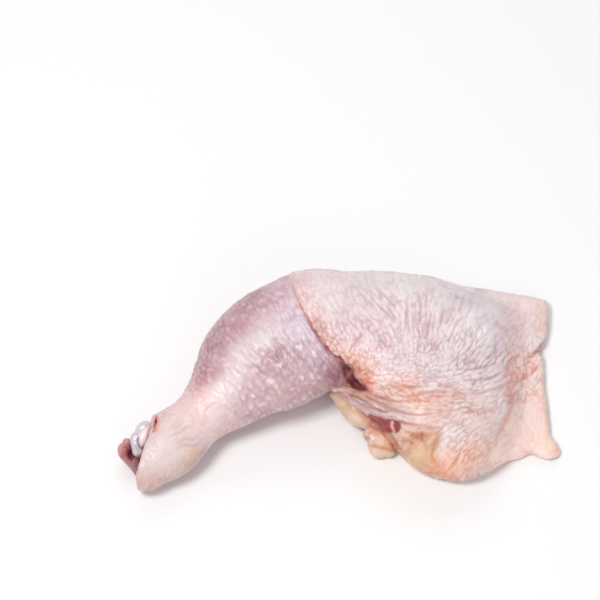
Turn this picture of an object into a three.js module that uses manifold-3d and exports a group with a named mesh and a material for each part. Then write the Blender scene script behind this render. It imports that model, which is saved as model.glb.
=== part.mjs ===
// Raw chicken leg quarter: drumstick and thigh in one piece, skin side up, lying flat.
// Millimetres, +Z up. X runs from the hock (-X) to the back flap (+X), Y across the leg.
// The origin is under the middle of the leg, on the surface it lies on.
import * as THREE from 'three';
import { mergeVertices } from 'three/addons/utils/BufferGeometryUtils.js';
import Module from 'manifold-3d';

const wasm = await Module();
wasm.setup();

// ---------------------------------------------------------------- sizes
const SHIFT = [0.1, -45.17]; // plan offset from the drawing point at the knee to the origin
const CELL = [4.6, 4.6, 2.5]; // facet size of the skin
const GAP = 0.45; // clearance between the meat and each separate small piece

// Drumstick: centre x, y, z, half-width and half-height, from the hock to the knee
const DRUMSTICK = [
  [-91.5, -2.4, 11.4, 13.4, 11.4],
  [-85, 3.2, 12.4, 16, 12.4],
  [-77.8, 9.2, 13, 16.2, 12.9],
  [-66.2, 20.7, 14.2, 13.6, 12.9],
  [-53.9, 32.6, 18, 20, 17.2],
  [-43.2, 43.6, 21.6, 27.6, 21.8],
  [-29.2, 54.8, 23.2, 31.6, 23.6],
  [-14.5, 64.7, 23, 31.3, 23.1],
];
// Hock end: the plane the foot was taken off along, cut so that the heel stays long
const HOCK_CUT = { at: [-92.2, 1.4, 15], normal: [-0.954, 0.245, 0.171], round: 2.2, heel: -94.6, heelRound: 1.4 };

// Thigh: a low mound. Radius of its plan outline every 15 degrees, anticlockwise from +X
const THIGH = { x: 27, y: 46.5, waist: 9.5, rise: 30, drop: 11, plump: 2.7 };
const THIGH_RADIUS = [57, 59.5, 61.4, 59.2, 56.4, 56.8, 58, 59.8, 62, 66, 66, 55, 38, 29, 24, 22, 24, 27.5, 35, 48.9, 59.2, 62.8, 59, 57];

// Flap of loose skin behind the thigh: plan outline, then half-thickness, which grows towards the thigh and at the upper corner
const FLAP_OUTLINE = [
  [60, 14], [75, 6.2], [81, 6.6], [86.4, 6.5], [91.2, 8.5], [94.8, 6.2], [99.4, 4], [104, 5.2], [106.6, 8.4],
  [107, 12], [104.4, 15.8], [102.9, 19], [102.6, 24], [102.3, 34], [101.2, 46], [101.2, 52], [101, 59], [99.2, 65.2],
  [102.6, 70.6], [104.6, 78], [106, 88], [106, 93], [104.2, 97], [92, 99.4], [78, 101.6], [60, 102.6], [45, 97.4],
];
const FLAP = { lift: 0.4, half: 1.5, corner: 1.3, root: 3.6, fade: 8, inset: 1.4, round: 2.8, blend: 11 };

// Stretched strap of skin along the thigh's lower edge, and the gap under it
const STRAP = [
  [1.5, 35.5, 15.5, 3.0, 3.5],
  [12.5, 28.5, 18.0, 5.0, 5.0],
  [22.5, 20.5, 19.5, 5.6, 5.6],
  [34.5, 12.5, 19.5, 5.6, 5.6],
  [49.0, 9.5, 17.5, 5.0, 5.0],
];
const STRAP_GAP = { at: [19.8, 14.5, 3], radius: [10, 4.2, 7.4], turn: -40 };

// Edge of the thigh's skin where it lies over the drumstick: x against the slant coordinate w = y sin + z cos
const SLANT = THREE.MathUtils.degToRad(55);
const FOLD = [
  [-24.5, 100], [-23, 91], [-19.5, 81.5], [-13, 69], [-6.4, 59.5], [-1.2, 54.6], [5.4, 49.2],
  [9.6, 43.6], [12.6, 41.4], [10.6, 40], [8.2, 38.2], [8.6, 36.4], [12, 33.5], [20, 29],
];
const LIP = [[34, 3.6], [50, 2.6], [70, 1.6], [95, 0.4]]; // height of the lip along the fold
const KNEE_BLEND = [[30, 3], [55, 5], [85, 12], [100, 14]]; // softness of the knee along the fold

// Small separate pieces. Runs are centre x, y, z, half-width and half-height
const KNUCKLE = {
  at: [-92.6, 8.6, 14.2],
  runs: [
    [[-89.1, 15, 17.5, 1.6, 2.6], [-91.5, 14.1, 17, 3, 3.6], [-93.1, 12.8, 16, 3.2, 3.6], [-94.7, 11.8, 14.5, 1.9, 2.6]],
    [[-94.7, 12.1, 14.5, 2.2, 2.6], [-96, 9.9, 13, 2.7, 3.2], [-96, 7, 12, 2.1, 2.6], [-94.8, 4.2, 11, 2.4, 2.6], [-93.1, 2.7, 9.5, 1.3, 1.6]],
    [[-91, 10.6, 16, 4, 4.4], [-92.4, 7.2, 14.8, 3.6, 4.2], [-92.4, 4.5, 12.5, 2.6, 3]],
  ],
};
const TENDON = [[-95.2, -2.3, 2.8, 1.4, 2], [-96.3, 0.9, 4.8, 2.9, 3.8], [-98.5, 4.1, 6.6, 3.9, 5.2], [-100.6, 6.8, 9, 4.1, 5.2], [-100.1, 9, 10.5, 2.4, 3.2]];
const FAT_UPPER = [[-2.4, 36.6, 10.5, 1.4, 2], [1.9, 32.6, 11, 3.4, 4.2], [6.1, 28.6, 10.5, 4.8, 6], [10.2, 25.6, 9.5, 5.4, 6.6], [13.8, 23.7, 8.5, 4.2, 5.4]];
const FAT_LOWER = [
  { at: [16.1, 17, 7], radius: [3, 2.6, 4.6], turn: 20 },
  { at: [19.4, 14.8, 7], radius: [3.8, 3, 5.6], turn: -25 },
  { at: [20.2, 8.7, 4.6], radius: [5, 3, 4.2], turn: 10 },
  { at: [23.6, 12.9, 6.8], radius: [3.6, 3.6, 5.6], turn: -50 },
  { at: [17, 11.9, 5.2], radius: [3.4, 2.6, 3.8], turn: 30 },
  { at: [21.7, 10.6, 6], radius: [3.8, 2.8, 5], turn: 0 },
  { at: [24.1, 9.5, 4.6], radius: [3.4, 2.6, 4], turn: -30 },
];

// ---------------------------------------------------------------- small maths
const { clamp, degToRad } = THREE.MathUtils;

/** Lower of two distances, rounded where they meet over a width k. */
function join(a, b, k) {
  const h = Math.max(k - Math.abs(a - b), 0) / k;
  return Math.min(a, b) - h * h * k * 0.25;
}
const meet = (a, b, k) => -join(-a, -b, k);

/** 0 up to a, 1 from b on, eased between; a may be the larger. */
function ease(a, b, t) {
  const f = Math.min(Math.max((t - a) / (b - a), 0), 1);
  return f * f * (3 - 2 * f);
}

/** Straight-line table lookup, held at both ends. */
function table(rows, t) {
  if (t <= rows[0][0]) return rows[0][1];
  for (let i = 1; i < rows.length; i++) {
    if (t <= rows[i][0]) {
      const f = (t - rows[i - 1][0]) / (rows[i][0] - rows[i - 1][0]);
      return rows[i - 1][1] + f * (rows[i][1] - rows[i - 1][1]);
    }
  }
  return rows[rows.length - 1][1];
}

/** One span of a Catmull-Rom curve: value, slope and bend. */
function span(p0, p1, p2, p3, f) {
  const c1 = p2 - p0;
  const c2 = 2 * p0 - 5 * p1 + 4 * p2 - p3;
  const c3 = 3 * p1 - p0 - 3 * p2 + p3;
  return [0.5 * (2 * p1 + c1 * f + c2 * f * f + c3 * f * f * f), 0.5 * (c1 + 2 * c2 * f + 3 * c3 * f * f), 0.5 * (2 * c2 + 6 * c3 * f)];
}

/** Smooth value of a ring of equally spaced numbers at an angle. */
function ring(values, angle) {
  const n = values.length;
  const t = (((angle / (2 * Math.PI)) % 1) + 1) % 1 * n;
  const i = Math.floor(t);
  return span(values[(i + n - 1) % n], values[i % n], values[(i + 1) % n], values[(i + 2) % n], t - i)[0];
}

/** Adds a straight run-out beyond both ends of a row of stations. */
function extended(rows) {
  const before = rows[0].map((v, i) => 2 * v - rows[1][i]);
  const after = rows[rows.length - 1].map((v, i) => 2 * v - rows[rows.length - 2][i]);
  return [before, ...rows, after];
}

// ---------------------------------------------------------------- distance to each form, negative inside
/** Limb with an elliptical section that follows a row of stations. */
function limb(stations) {
  const rows = extended(stations);
  const n = stations.length - 1;
  const at = (t) => {
    const i = clamp(Math.floor(t), 0, rows.length - 4);
    return stations[0].map((_, k) => span(rows[i][k], rows[i + 1][k], rows[i + 2][k], rows[i + 3][k], t - i));
  };
  const guesses = Array.from({ length: 3 * n + 1 }, (_, i) => ({ t: i / 3, c: at(i / 3).map((v) => v[0]) }));
  return (x, y, z) => {
    let best = Infinity;
    let t = 0;
    for (const g of guesses) {
      const d = (x - g.c[0]) ** 2 + (y - g.c[1]) ** 2 + (z - g.c[2]) ** 2;
      if (d < best) [best, t] = [d, g.t];
    }
    for (let step = 0; step < 3; step++) {
      const c = at(t);
      const r = [c[0][0] - x, c[1][0] - y, c[2][0] - z];
      const slope = r[0] * c[0][1] + r[1] * c[1][1] + r[2] * c[2][1];
      const speed = c[0][1] ** 2 + c[1][1] ** 2 + c[2][1] ** 2;
      const bend = Math.max(speed + r[0] * c[0][2] + r[1] * c[1][2] + r[2] * c[2][2], 0.3 * speed);
      t = clamp(t - clamp(slope / bend, -0.35, 0.35), 0, n);
    }
    const [cx, cy, cz, a, b] = at(t).map((v) => v[0]);
    const h = Math.hypot(x - cx, y - cy);
    const q = Math.hypot(h / a, (z - cz) / b);
    const steep = Math.hypot(h / (a * a), (z - cz) / (b * b)) / Math.max(q, 1e-6);
    return Math.max((q - 1) / Math.max(steep, 1e-3), -Math.min(a, b));
  };
}

/** Egg shape turned about the vertical. */
function egg({ at, radius, turn }) {
  const c = Math.cos(degToRad(turn));
  const s = Math.sin(degToRad(turn));
  return (x, y, z) => {
    const px = (x - at[0]) * c + (y - at[1]) * s;
    const py = -(x - at[0]) * s + (y - at[1]) * c;
    const pz = z - at[2];
    const k0 = Math.hypot(px / radius[0], py / radius[1], pz / radius[2]);
    const k1 = Math.hypot(px / radius[0] ** 2, py / radius[1] ** 2, pz / radius[2] ** 2);
    return (k0 * (k0 - 1)) / Math.max(k1, 1e-6);
  };
}

/** Thigh mound: an uneven round outline in plan, plump in section, lower towards the flap. */
function mound(x, y, z) {
  const dx = x - THIGH.x;
  const dy = y - THIGH.y;
  const radius = ring(THIGH_RADIUS, Math.atan2(dy, dx));
  const rho = Math.hypot(dx, dy) / radius;
  const up = z - THIGH.waist;
  const tall = up > 0 ? THIGH.rise + 0.03 * (y - 45) - 0.075 * (x - 18) : THIGH.drop;
  const k = rho ** THIGH.plump + (up / tall) ** 2;
  const steep = Math.hypot((THIGH.plump * rho ** (THIGH.plump - 1)) / radius, (2 * Math.abs(up)) / tall ** 2);
  return (k - 1) / Math.max(steep, 0.02);
}

/** Signed distance in plan to a closed smooth outline. */
function outline(points) {
  const curve = new THREE.CatmullRomCurve3(points.map(([x, y]) => new THREE.Vector3(x, y, 0)), true, 'catmullrom', 0.5);
  const P = curve.getPoints(points.length * 4).slice(0, -1);
  return (x, y) => {
    let d = Infinity;
    let inside = false;
    for (let i = 0, j = P.length - 1; i < P.length; j = i++) {
      const ex = P[j].x - P[i].x;
      const ey = P[j].y - P[i].y;
      const wx = x - P[i].x;
      const wy = y - P[i].y;
      const t = clamp((wx * ex + wy * ey) / (ex * ex + ey * ey), 0, 1);
      d = Math.min(d, Math.hypot(wx - ex * t, wy - ey * t));
      if (P[i].y > y !== P[j].y > y && x < (ex * (y - P[i].y)) / ey + P[i].x) inside = !inside;
    }
    return inside ? -d : d;
  };
}

// ---------------------------------------------------------------- the meat and skin as one form
const drumstick = limb(DRUMSTICK);
const strap = limb(STRAP);
const strapGap = egg(STRAP_GAP);
const flapEdge = outline(FLAP_OUTLINE);
const cutNormal = new THREE.Vector3(...HOCK_CUT.normal).normalize();

const foldCurve = new THREE.SplineCurve(FOLD.map(([x, w]) => new THREE.Vector2(x, w)));
const foldRows = foldCurve.getPoints(4 * (FOLD.length - 1)).map((p) => [p.y, p.x]).sort((a, b) => a[0] - b[0]);
/** Distance towards the thigh from the edge of its skin. */
function pastFold(x, w) {
  const slope = (table(foldRows, w + 1) - table(foldRows, w - 1)) / 2;
  return (x - table(foldRows, w)) / Math.hypot(1, slope);
}

function meat(x, y, z) {
  const w = y * Math.sin(SLANT) + z * Math.cos(SLANT);
  const cut = (x - HOCK_CUT.at[0]) * cutNormal.x + (y - HOCK_CUT.at[1]) * cutNormal.y + (z - HOCK_CUT.at[2]) * cutNormal.z;
  const leg = meet(meet(drumstick(x, y, z), cut, HOCK_CUT.round), HOCK_CUT.heel - x, HOCK_CUT.heelRound);
  const thigh = meet(join(mound(x, y, z), strap(x, y, z), 6), -strapGap(x, y, z), 3);
  const upper = ease(44, 70, y);
  const half = FLAP.half + FLAP.corner * ease(62, 80, y) + (FLAP.root + upper) * Math.exp(-clamp(thigh, 0, 60) / FLAP.fade);
  const flap = meet(flapEdge(x, y) + FLAP.inset, Math.abs(z - FLAP.lift - half) - half, FLAP.round);
  const soft = ease(41, 36, w);
  let body = join(leg, thigh, table(KNEE_BLEND, w));
  body = join(body, meet(body - table(LIP, w), -pastFold(x, w), 2.5 + 6 * soft), 1 + 4 * soft);
  body = join(body, flap, FLAP.blend + 2 * upper);
  return meet(body, -z, 1.2);
}

/** Closed faceted surface of a form, on a grid of cells. Facets turn outwards. */
function skinOf(form, low, high, cell, offset = 0) {
  const n = low.map((v, i) => Math.ceil((high[i] - v) / cell[i]) + 1);
  const id = (i, j, k) => (i * n[1] + j) * n[2] + k;
  const value = new Float64Array(n[0] * n[1] * n[2]);
  for (let i = 0; i < n[0]; i++)
    for (let j = 0; j < n[1]; j++)
      for (let k = 0; k < n[2]; k++) value[id(i, j, k)] = form(low[0] + i * cell[0], low[1] + j * cell[1], low[2] + k * cell[2]) - offset;
  const corners = [[0, 0, 0], [1, 0, 0], [0, 1, 0], [1, 1, 0], [0, 0, 1], [1, 0, 1], [0, 1, 1], [1, 1, 1]];
  const edges = [];
  for (let a = 0; a < 8; a++) for (const bit of [1, 2, 4]) if (!(a & bit)) edges.push([corners[a], corners[a | bit]]);
  const points = [];
  const index = new Int32Array(value.length).fill(-1);
  for (let i = 0; i < n[0] - 1; i++)
    for (let j = 0; j < n[1] - 1; j++)
      for (let k = 0; k < n[2] - 1; k++) {
        const sum = [0, 0, 0];
        let hits = 0;
        for (const [a, b] of edges) {
          const fa = value[id(i + a[0], j + a[1], k + a[2])];
          const fb = value[id(i + b[0], j + b[1], k + b[2])];
          if (fa < 0 === fb < 0) continue;
          const t = fa / (fa - fb);
          for (let d = 0; d < 3; d++) sum[d] += a[d] + (b[d] - a[d]) * t;
          hits++;
        }
        if (!hits) continue;
        index[id(i, j, k)] = points.length / 3;
        const p = [i, j, k].map((v, d) => low[d] + (v + sum[d] / hits) * cell[d]);
        points.push(p[0], p[1], p[2]);
      }
  const faces = [];
  const quad = (a, b, c, d) => faces.push(a, b, c, a, c, d);
  for (let i = 1; i < n[0] - 1; i++)
    for (let j = 1; j < n[1] - 1; j++)
      for (let k = 1; k < n[2] - 1; k++) {
        const inside = value[id(i, j, k)] < 0;
        const across = [
          [id(i + 1, j, k), id(i, j - 1, k - 1), id(i, j, k - 1), id(i, j, k), id(i, j - 1, k)],
          [id(i, j + 1, k), id(i - 1, j, k - 1), id(i - 1, j, k), id(i, j, k), id(i, j, k - 1)],
          [id(i, j, k + 1), id(i - 1, j - 1, k), id(i, j - 1, k), id(i, j, k), id(i - 1, j, k)],
        ];
        for (const [next, a, b, c, d] of across) {
          if (inside === value[next] < 0) continue;
          const q = [a, b, c, d].map((v) => index[v]);
          if (inside) quad(q[0], q[1], q[2], q[3]);
          else quad(q[3], q[2], q[1], q[0]);
        }
      }
  const geometry = new THREE.BufferGeometry();
  geometry.setAttribute('position', new THREE.Float32BufferAttribute(points, 3));
  geometry.setIndex(faces);
  return geometry;
}

// ---------------------------------------------------------------- solids, cuts and materials
function solid(geometry) {
  const g = geometry.clone();
  g.deleteAttribute('normal');
  g.deleteAttribute('uv');
  const m = mergeVertices(g, 1e-4);
  return new wasm.Manifold(new wasm.Mesh({ numProp: 3, vertProperties: new Float32Array(m.attributes.position.array), triVerts: new Uint32Array(m.index.array) }));
}

function geometryOf(manifold) {
  const mesh = manifold.getMesh();
  const g = new THREE.BufferGeometry();
  g.setAttribute('position', new THREE.BufferAttribute(new Float32Array(mesh.vertProperties), 3));
  g.setIndex(new THREE.BufferAttribute(new Uint32Array(mesh.triVerts), 1));
  return g;
}

/** Nothing goes below the surface the leg lies on, and the underside there is truly flat. */
function settle(geometry, within) {
  const p = geometry.attributes.position;
  for (let i = 0; i < p.count; i++) if (p.getZ(i) < within) p.setZ(i, 0);
  return geometry;
}

/** Rounded blob: a sphere pushed out to a form's surface, ray by ray from a point inside. */
function blob(form, centre, reach, around, along) {
  const g = new THREE.SphereGeometry(1, around, along);
  const p = g.attributes.position;
  const v = new THREE.Vector3();
  for (let i = 0; i < p.count; i++) {
    v.fromBufferAttribute(p, i);
    let near = 0;
    let far = reach;
    for (let s = 0; s < 40; s++) {
      const mid = (near + far) / 2;
      if (form(centre[0] + v.x * mid, centre[1] + v.y * mid, centre[2] + v.z * mid) < 0) near = mid;
      else far = mid;
    }
    p.setXYZ(i, centre[0] + v.x * near, centre[1] + v.y * near, centre[2] + v.z * near);
  }
  return g;
}

const LOW = [-112.5, -23.4, -3.2];
const HIGH = [115, 117, 56];
const meatGeometry = settle(skinOf(meat, LOW, HIGH, CELL), 0.35);
const aroundMeat = solid(skinOf(meat, LOW, HIGH, CELL, GAP));
const floor = new THREE.BoxGeometry(400, 400, 20).translate(0, 0, -10);
/** What stands clear of the meat, the floor and the other solids given, as one piece. */
function clear(geometry, ...others) {
  const cut = [aroundMeat, solid(floor), ...others.map(solid)].reduce((a, b) => a.subtract(b), solid(geometry));
  return geometryOf(cut.decompose().sort((a, b) => b.volume() - a.volume())[0]);
}

const knuckleRuns = KNUCKLE.runs.map(limb);
const knuckle = (x, y, z) => knuckleRuns.map((f) => f(x, y, z)).reduce((a, b) => join(a, b, 1.2));
const tendon = limb(TENDON);
const fatUpper = limb(FAT_UPPER);
const fatParts = FAT_LOWER.map(egg);
const fatLower = (x, y, z) => fatParts.map((f) => f(x, y, z)).reduce((a, b) => join(a, b, 2.2));
/** The pieces that others are kept clear of, grown by a margin. */
const tendonBlob = (grow) => blob((x, y, z) => tendon(x, y, z) - grow, TENDON[2].slice(0, 3), 40, 16, 14);
const fatUpperBlob = (grow) => blob((x, y, z) => fatUpper(x, y, z) - grow, FAT_UPPER[2].slice(0, 3), 30, 16, 12);

const material = (color, roughness) => new THREE.MeshStandardMaterial({ color, roughness, metalness: 0 });
const SKIN = material('#dcb9b4', 0.45);
const CARTILAGE = material('#d3d2de', 0.3);
const RED_MEAT = material('#8e4048', 0.35);
const FAT = material('#e8cfa4', 0.35);

const leg = new THREE.Group();
leg.name = 'chicken_leg_quarter';
leg.position.set(SHIFT[0], SHIFT[1], 0);
function add(name, geometry, mat) {
  const mesh = new THREE.Mesh(geometry, mat);
  mesh.name = name;
  leg.add(mesh);
}
add('leg_meat_and_skin', meatGeometry, SKIN);
add('hock_cartilage', clear(blob(knuckle, KNUCKLE.at, 30, 16, 11), tendonBlob(GAP)), CARTILAGE);
add('hock_tendon', clear(tendonBlob(0)), RED_MEAT);
add('fat_lobe_upper', clear(fatUpperBlob(0)), FAT);
add('fat_lobe_lower', clear(blob(fatLower, FAT_LOWER[5].at, 30, 18, 13), fatUpperBlob(GAP)), FAT);

export default leg;
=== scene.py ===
"""Raw chicken leg quarter, skin side up: the looks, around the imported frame."""
import math

import bpy
import numpy as np
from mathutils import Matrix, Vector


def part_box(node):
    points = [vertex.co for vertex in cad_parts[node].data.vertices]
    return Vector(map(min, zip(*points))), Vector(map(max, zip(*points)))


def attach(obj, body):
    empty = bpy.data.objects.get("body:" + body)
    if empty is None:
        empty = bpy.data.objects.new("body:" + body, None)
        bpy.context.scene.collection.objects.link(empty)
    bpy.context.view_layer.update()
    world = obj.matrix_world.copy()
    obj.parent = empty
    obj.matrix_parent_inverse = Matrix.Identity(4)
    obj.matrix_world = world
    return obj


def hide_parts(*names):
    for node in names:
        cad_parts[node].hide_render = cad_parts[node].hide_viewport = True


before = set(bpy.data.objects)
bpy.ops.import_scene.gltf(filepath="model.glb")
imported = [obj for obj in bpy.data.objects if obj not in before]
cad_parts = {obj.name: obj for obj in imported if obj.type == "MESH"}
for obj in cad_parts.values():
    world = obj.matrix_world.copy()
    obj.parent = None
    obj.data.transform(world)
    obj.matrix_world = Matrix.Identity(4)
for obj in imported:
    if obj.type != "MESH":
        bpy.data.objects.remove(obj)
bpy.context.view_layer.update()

# ------------------------------------------------------------------ sizes, millimetres, in the drawing frame
SHIFT = np.array([0.1, -45.17, 0.0])  # drawing frame to the part's own frame
CELL = 0.92
DRUM = [
    (-91.5, -2.4, 11.4, 13.4, 11.4),
    (-85.0, 3.2, 12.4, 16.0, 12.4),
    (-77.8, 9.2, 13.0, 16.2, 12.9),
    (-66.2, 20.7, 14.2, 13.6, 12.9),
    (-53.9, 32.6, 18.0, 20.0, 17.2),
    (-43.2, 43.6, 21.6, 27.6, 21.8),
    (-29.2, 54.8, 23.2, 31.6, 23.6),
    (-14.5, 64.7, 23.0, 31.3, 23.1),
]
TC = (27.0, 46.5)
TR = [57, 59.5, 61.4, 59.2, 56.4, 56.8, 58, 59.8, 62, 66, 66, 55, 38, 29, 24, 22, 24, 27.5, 35.0, 48.9, 59.2, 62.8, 59, 57]
FLAP = [(60, 14), (75, 6.2), (81, 6.6), (86.4, 6.5), (91.2, 8.5), (94.8, 6.2), (99.4, 4.0), (104.0, 5.2), (106.6, 8.4), (107.0, 12.0), (104.4, 15.8), (102.9, 19.0),
        (102.6, 24), (102.3, 34), (101.2, 46), (101.2, 52), (101.0, 59), (99.2, 65.2), (102.6, 70.6), (104.6, 78.0), (106.0, 88), (106.0, 93.0), (104.2, 97.0), (92, 99.4), (78, 101.6),
        (60, 102.6), (45, 97.4)]
STRAP = [(1.5, 35.5, 15.5, 3.0, 3.5), (12.5, 28.5, 18.0, 5.0, 5.0), (22.5, 20.5, 19.5, 5.6, 5.6), (34.5, 12.5, 19.5, 5.6, 5.6), (49.0, 9.5, 17.5, 5.0, 5.0)]
CUT_A, CUT_N = (-92.2, 1.4, 15.0), (-0.954, 0.245, 0.171)
CUT_DIR = np.array(CUT_N) / np.linalg.norm(CUT_N)
HEEL = -94.6
SLANT = math.radians(55.0)
SE, CE = math.sin(SLANT), math.cos(SLANT)
FOLD = [(-24.5, 100.0), (-23.0, 91.0), (-19.5, 81.5), (-13.0, 69.0), (-6.4, 59.5), (-1.2, 54.6), (5.4, 49.2), (9.6, 43.6), (12.6, 41.4), (10.6, 40.0), (8.2, 38.2), (8.6, 36.4), (12.0, 33.5), (20.0, 29.0)]

# the camera, and the sight plane that surface marks are laid out on
DIST, PITCH = 1150.0, 0.48
RIGHT, UP, LOOK = np.array([1.0, 0, 0]), np.array([0, SE, CE]), np.array([0, CE, -SE])
AIM = RIGHT * (300 - 338) * PITCH + UP * (470 - 300) * PITCH
AIM = AIM + LOOK * (np.array([0.0, 45.0, 17.0]) @ LOOK)
CAM = AIM - LOOK * DIST


def sight(P):
    """Where points show on the sight plane through the middle of the leg: across and up, in mm."""
    q = P - CAM
    z = q @ LOOK
    return (q @ RIGHT) / z * DIST + AIM @ RIGHT, (q @ UP) / z * DIST + AIM @ UP


# ------------------------------------------------------------------ small maths
def smin(a, b, k):
    h = np.maximum(k - np.abs(a - b), 0.0) / k
    return np.minimum(a, b) - h * h * k * 0.25


def smax(a, b, k):
    return -smin(-a, -b, k)


def step(a, b, x):
    t = np.clip((x - a) / (b - a), 0, 1)
    return t * t * (3 - 2 * t)


def mix(a, b, t):
    return a + (b - a) * t


def catmull(points, n):
    P = np.asarray(points, float)
    P = np.vstack([2 * P[0] - P[1], P, 2 * P[-1] - P[-2]])
    out = []
    for i in range(1, len(P) - 2):
        for f in np.linspace(0, 1, n, endpoint=False):
            p0, p1, p2, p3 = P[i - 1], P[i], P[i + 1], P[i + 2]
            out.append(0.5 * (2 * p1 + (p2 - p0) * f + (2 * p0 - 5 * p1 + 4 * p2 - p3) * f**2 + (3 * p1 - p0 - 3 * p2 + p3) * f**3))
    out.append(P[-2])
    return np.array(out)


def closed_spline(P, n=5):
    P = np.asarray(P, float)
    m = len(P)
    out = []
    for i in range(m):
        p0, p1, p2, p3 = P[i - 1], P[i], P[(i + 1) % m], P[(i + 2) % m]
        for f in np.arange(n) / n:
            out.append(0.5 * (2 * p1 + (p2 - p0) * f + (2 * p0 - 5 * p1 + 4 * p2 - p3) * f**2 + (3 * p1 - p0 - 3 * p2 + p3) * f**3))
    return np.array(out)


def ring(theta, vals):
    n = len(vals)
    vals = np.asarray(vals, np.float64)
    t = (theta / (2 * np.pi)) % 1.0 * n
    i = np.floor(t).astype(int)
    f = t - i
    p0, p1, p2, p3 = (vals[(i + k) % n] for k in (-1, 0, 1, 2))
    return 0.5 * (2 * p1 + (p2 - p0) * f + (2 * p0 - 5 * p1 + 4 * p2 - p3) * f**2 + (3 * p1 - p0 - 3 * p2 + p3) * f**3)


def cr(P, t):
    P = np.vstack([2 * P[0] - P[1], P, 2 * P[-1] - P[-2]])
    i = np.clip(np.floor(t).astype(int), 0, len(P) - 4)
    f = (t - i)[:, None]
    p0, p1, p2, p3 = P[i], P[i + 1], P[i + 2], P[i + 3]
    c1, c2, c3 = p2 - p0, 2 * p0 - 5 * p1 + 4 * p2 - p3, 3 * p1 - p0 - 3 * p2 + p3
    return 0.5 * (2 * p1 + c1 * f + c2 * f * f + c3 * f**3), 0.5 * (c1 + 2 * c2 * f + 3 * c3 * f * f), 0.5 * (2 * c2 + 6 * c3 * f)


def limb(P, st, full=False):
    """Swept ellipse through stations x, y, z, half-width, half-height. With full, also where each point is along and round it."""
    st = np.asarray(st, float)
    n = len(st) - 1
    f = np.full(len(P), 60.0)
    par = np.zeros(len(P))
    ang = np.zeros(len(P))
    pad = st[:, 3].max() + 22
    m = (P[:, 0] > st[:, 0].min() - pad) & (P[:, 0] < st[:, 0].max() + pad) & (P[:, 1] > st[:, 1].min() - pad) & (P[:, 1] < st[:, 1].max() + pad)
    x = P[m]
    if not len(x):
        return (f, par, ang) if full else f
    ts = np.linspace(0, n, 3 * n + 1)
    C = cr(st, ts)[0]
    d = ((x[:, None, :] - C[None, :, :3]) ** 2).sum(2)
    t = ts[d.argmin(1)]
    for _ in range(3):
        c, d1, d2 = cr(st, t)
        r = c[:, :3] - x
        v2 = (d1[:, :3] ** 2).sum(1)
        g = (r * d1[:, :3]).sum(1)
        h = np.maximum(v2 + (r * d2[:, :3]).sum(1), 0.3 * v2)
        t = np.clip(t - np.clip(g / h, -0.35, 0.35), 0, n)
    c, d1, _ = cr(st, t)
    r = x - c[:, :3]
    a, b = c[:, 3], c[:, 4]
    h = np.hypot(r[:, 0], r[:, 1])
    q = np.sqrt((h / a) ** 2 + (r[:, 2] / b) ** 2)
    gq = np.sqrt((h / a**2) ** 2 + (r[:, 2] / b**2) ** 2) / np.maximum(q, 1e-6)
    f[m] = np.maximum((q - 1) / np.maximum(gq, 1e-3), -np.minimum(a, b))
    if not full:
        return f
    par[m] = t
    side = np.sign(r[:, 1] * d1[:, 0] - r[:, 0] * d1[:, 1])
    ang[m] = np.arctan2(side * h / a, r[:, 2] / b)  # 0 on top, positive towards the back of the leg
    return f, par, ang


def egg(P, c, r, rot=0.0, tilt=0.0):
    a, t = math.radians(rot), math.radians(tilt)
    x, y, z = (P - np.array(c)).T
    x, y = x * math.cos(a) + y * math.sin(a), -x * math.sin(a) + y * math.cos(a)
    x, z = x * math.cos(t) + z * math.sin(t), -x * math.sin(t) + z * math.cos(t)
    k0 = np.sqrt((x / r[0]) ** 2 + (y / r[1]) ** 2 + (z / r[2]) ** 2)
    k1 = np.sqrt((x / r[0] ** 2) ** 2 + (y / r[1] ** 2) ** 2 + (z / r[2] ** 2) ** 2)
    return k0 * (k0 - 1) / np.maximum(k1, 1e-6)


def mound(P):
    dx, dy = P[:, 0] - TC[0], P[:, 1] - TC[1]
    R = ring(np.arctan2(dy, dx), TR)
    rho = np.hypot(dx, dy) / R
    zz = P[:, 2] - 9.5
    h = np.where(zz > 0, 30.0 + 0.03 * (P[:, 1] - 45) - 0.075 * (P[:, 0] - 18), 11.0)
    k = rho**2.7 + (zz / h) ** 2
    g = np.hypot(2.7 * rho**1.7 / R, 2 * np.abs(zz) / h**2)
    return (k - 1) / np.maximum(g, 0.02)


def to_outline(x, y, P):
    """Signed distance in plan to a closed polygon, negative inside."""
    d = np.full(len(x), 1e18)
    s = np.ones(len(x))
    for i in range(len(P)):
        a, b = P[i], P[i - 1]
        ex, ey = b - a
        wx, wy = x - a[0], y - a[1]
        t = np.clip((wx * ex + wy * ey) / (ex * ex + ey * ey + 1e-12), 0, 1)
        d = np.minimum(d, (wx - ex * t) ** 2 + (wy - ey * t) ** 2)
        c1, c2, c3 = y >= a[1], y < b[1], ex * wy > ey * wx
        s = np.where((c1 & c2 & c3) | (~c1 & ~c2 & ~c3), -s, s)
    return s * np.sqrt(d)


def to_line(x, y, P):
    """Distance in the plane to an open polyline, and how far along it (0 to 1) the nearest point is."""
    P = np.asarray(P, float)
    seg = np.hypot(*(P[1:] - P[:-1]).T)
    at = np.concatenate([[0], np.cumsum(seg)])
    d = np.full(len(x), 1e18)
    u = np.zeros(len(x))
    for i in range(len(P) - 1):
        e = P[i + 1] - P[i]
        wx, wy = x - P[i][0], y - P[i][1]
        t = np.clip((wx * e[0] + wy * e[1]) / (e @ e), 0, 1)
        dd = (wx - e[0] * t) ** 2 + (wy - e[1] * t) ** 2
        m = dd < d
        d[m] = dd[m]
        u[m] = (at[i] + seg[i] * t[m]) / at[-1]
    return np.sqrt(d), u


FLAP_LINE = closed_spline(FLAP)
_fold = catmull(FOLD, 5)
_fold = _fold[np.argsort(_fold[:, 1])]
_slope = np.gradient(_fold[:, 0], _fold[:, 1])


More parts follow.
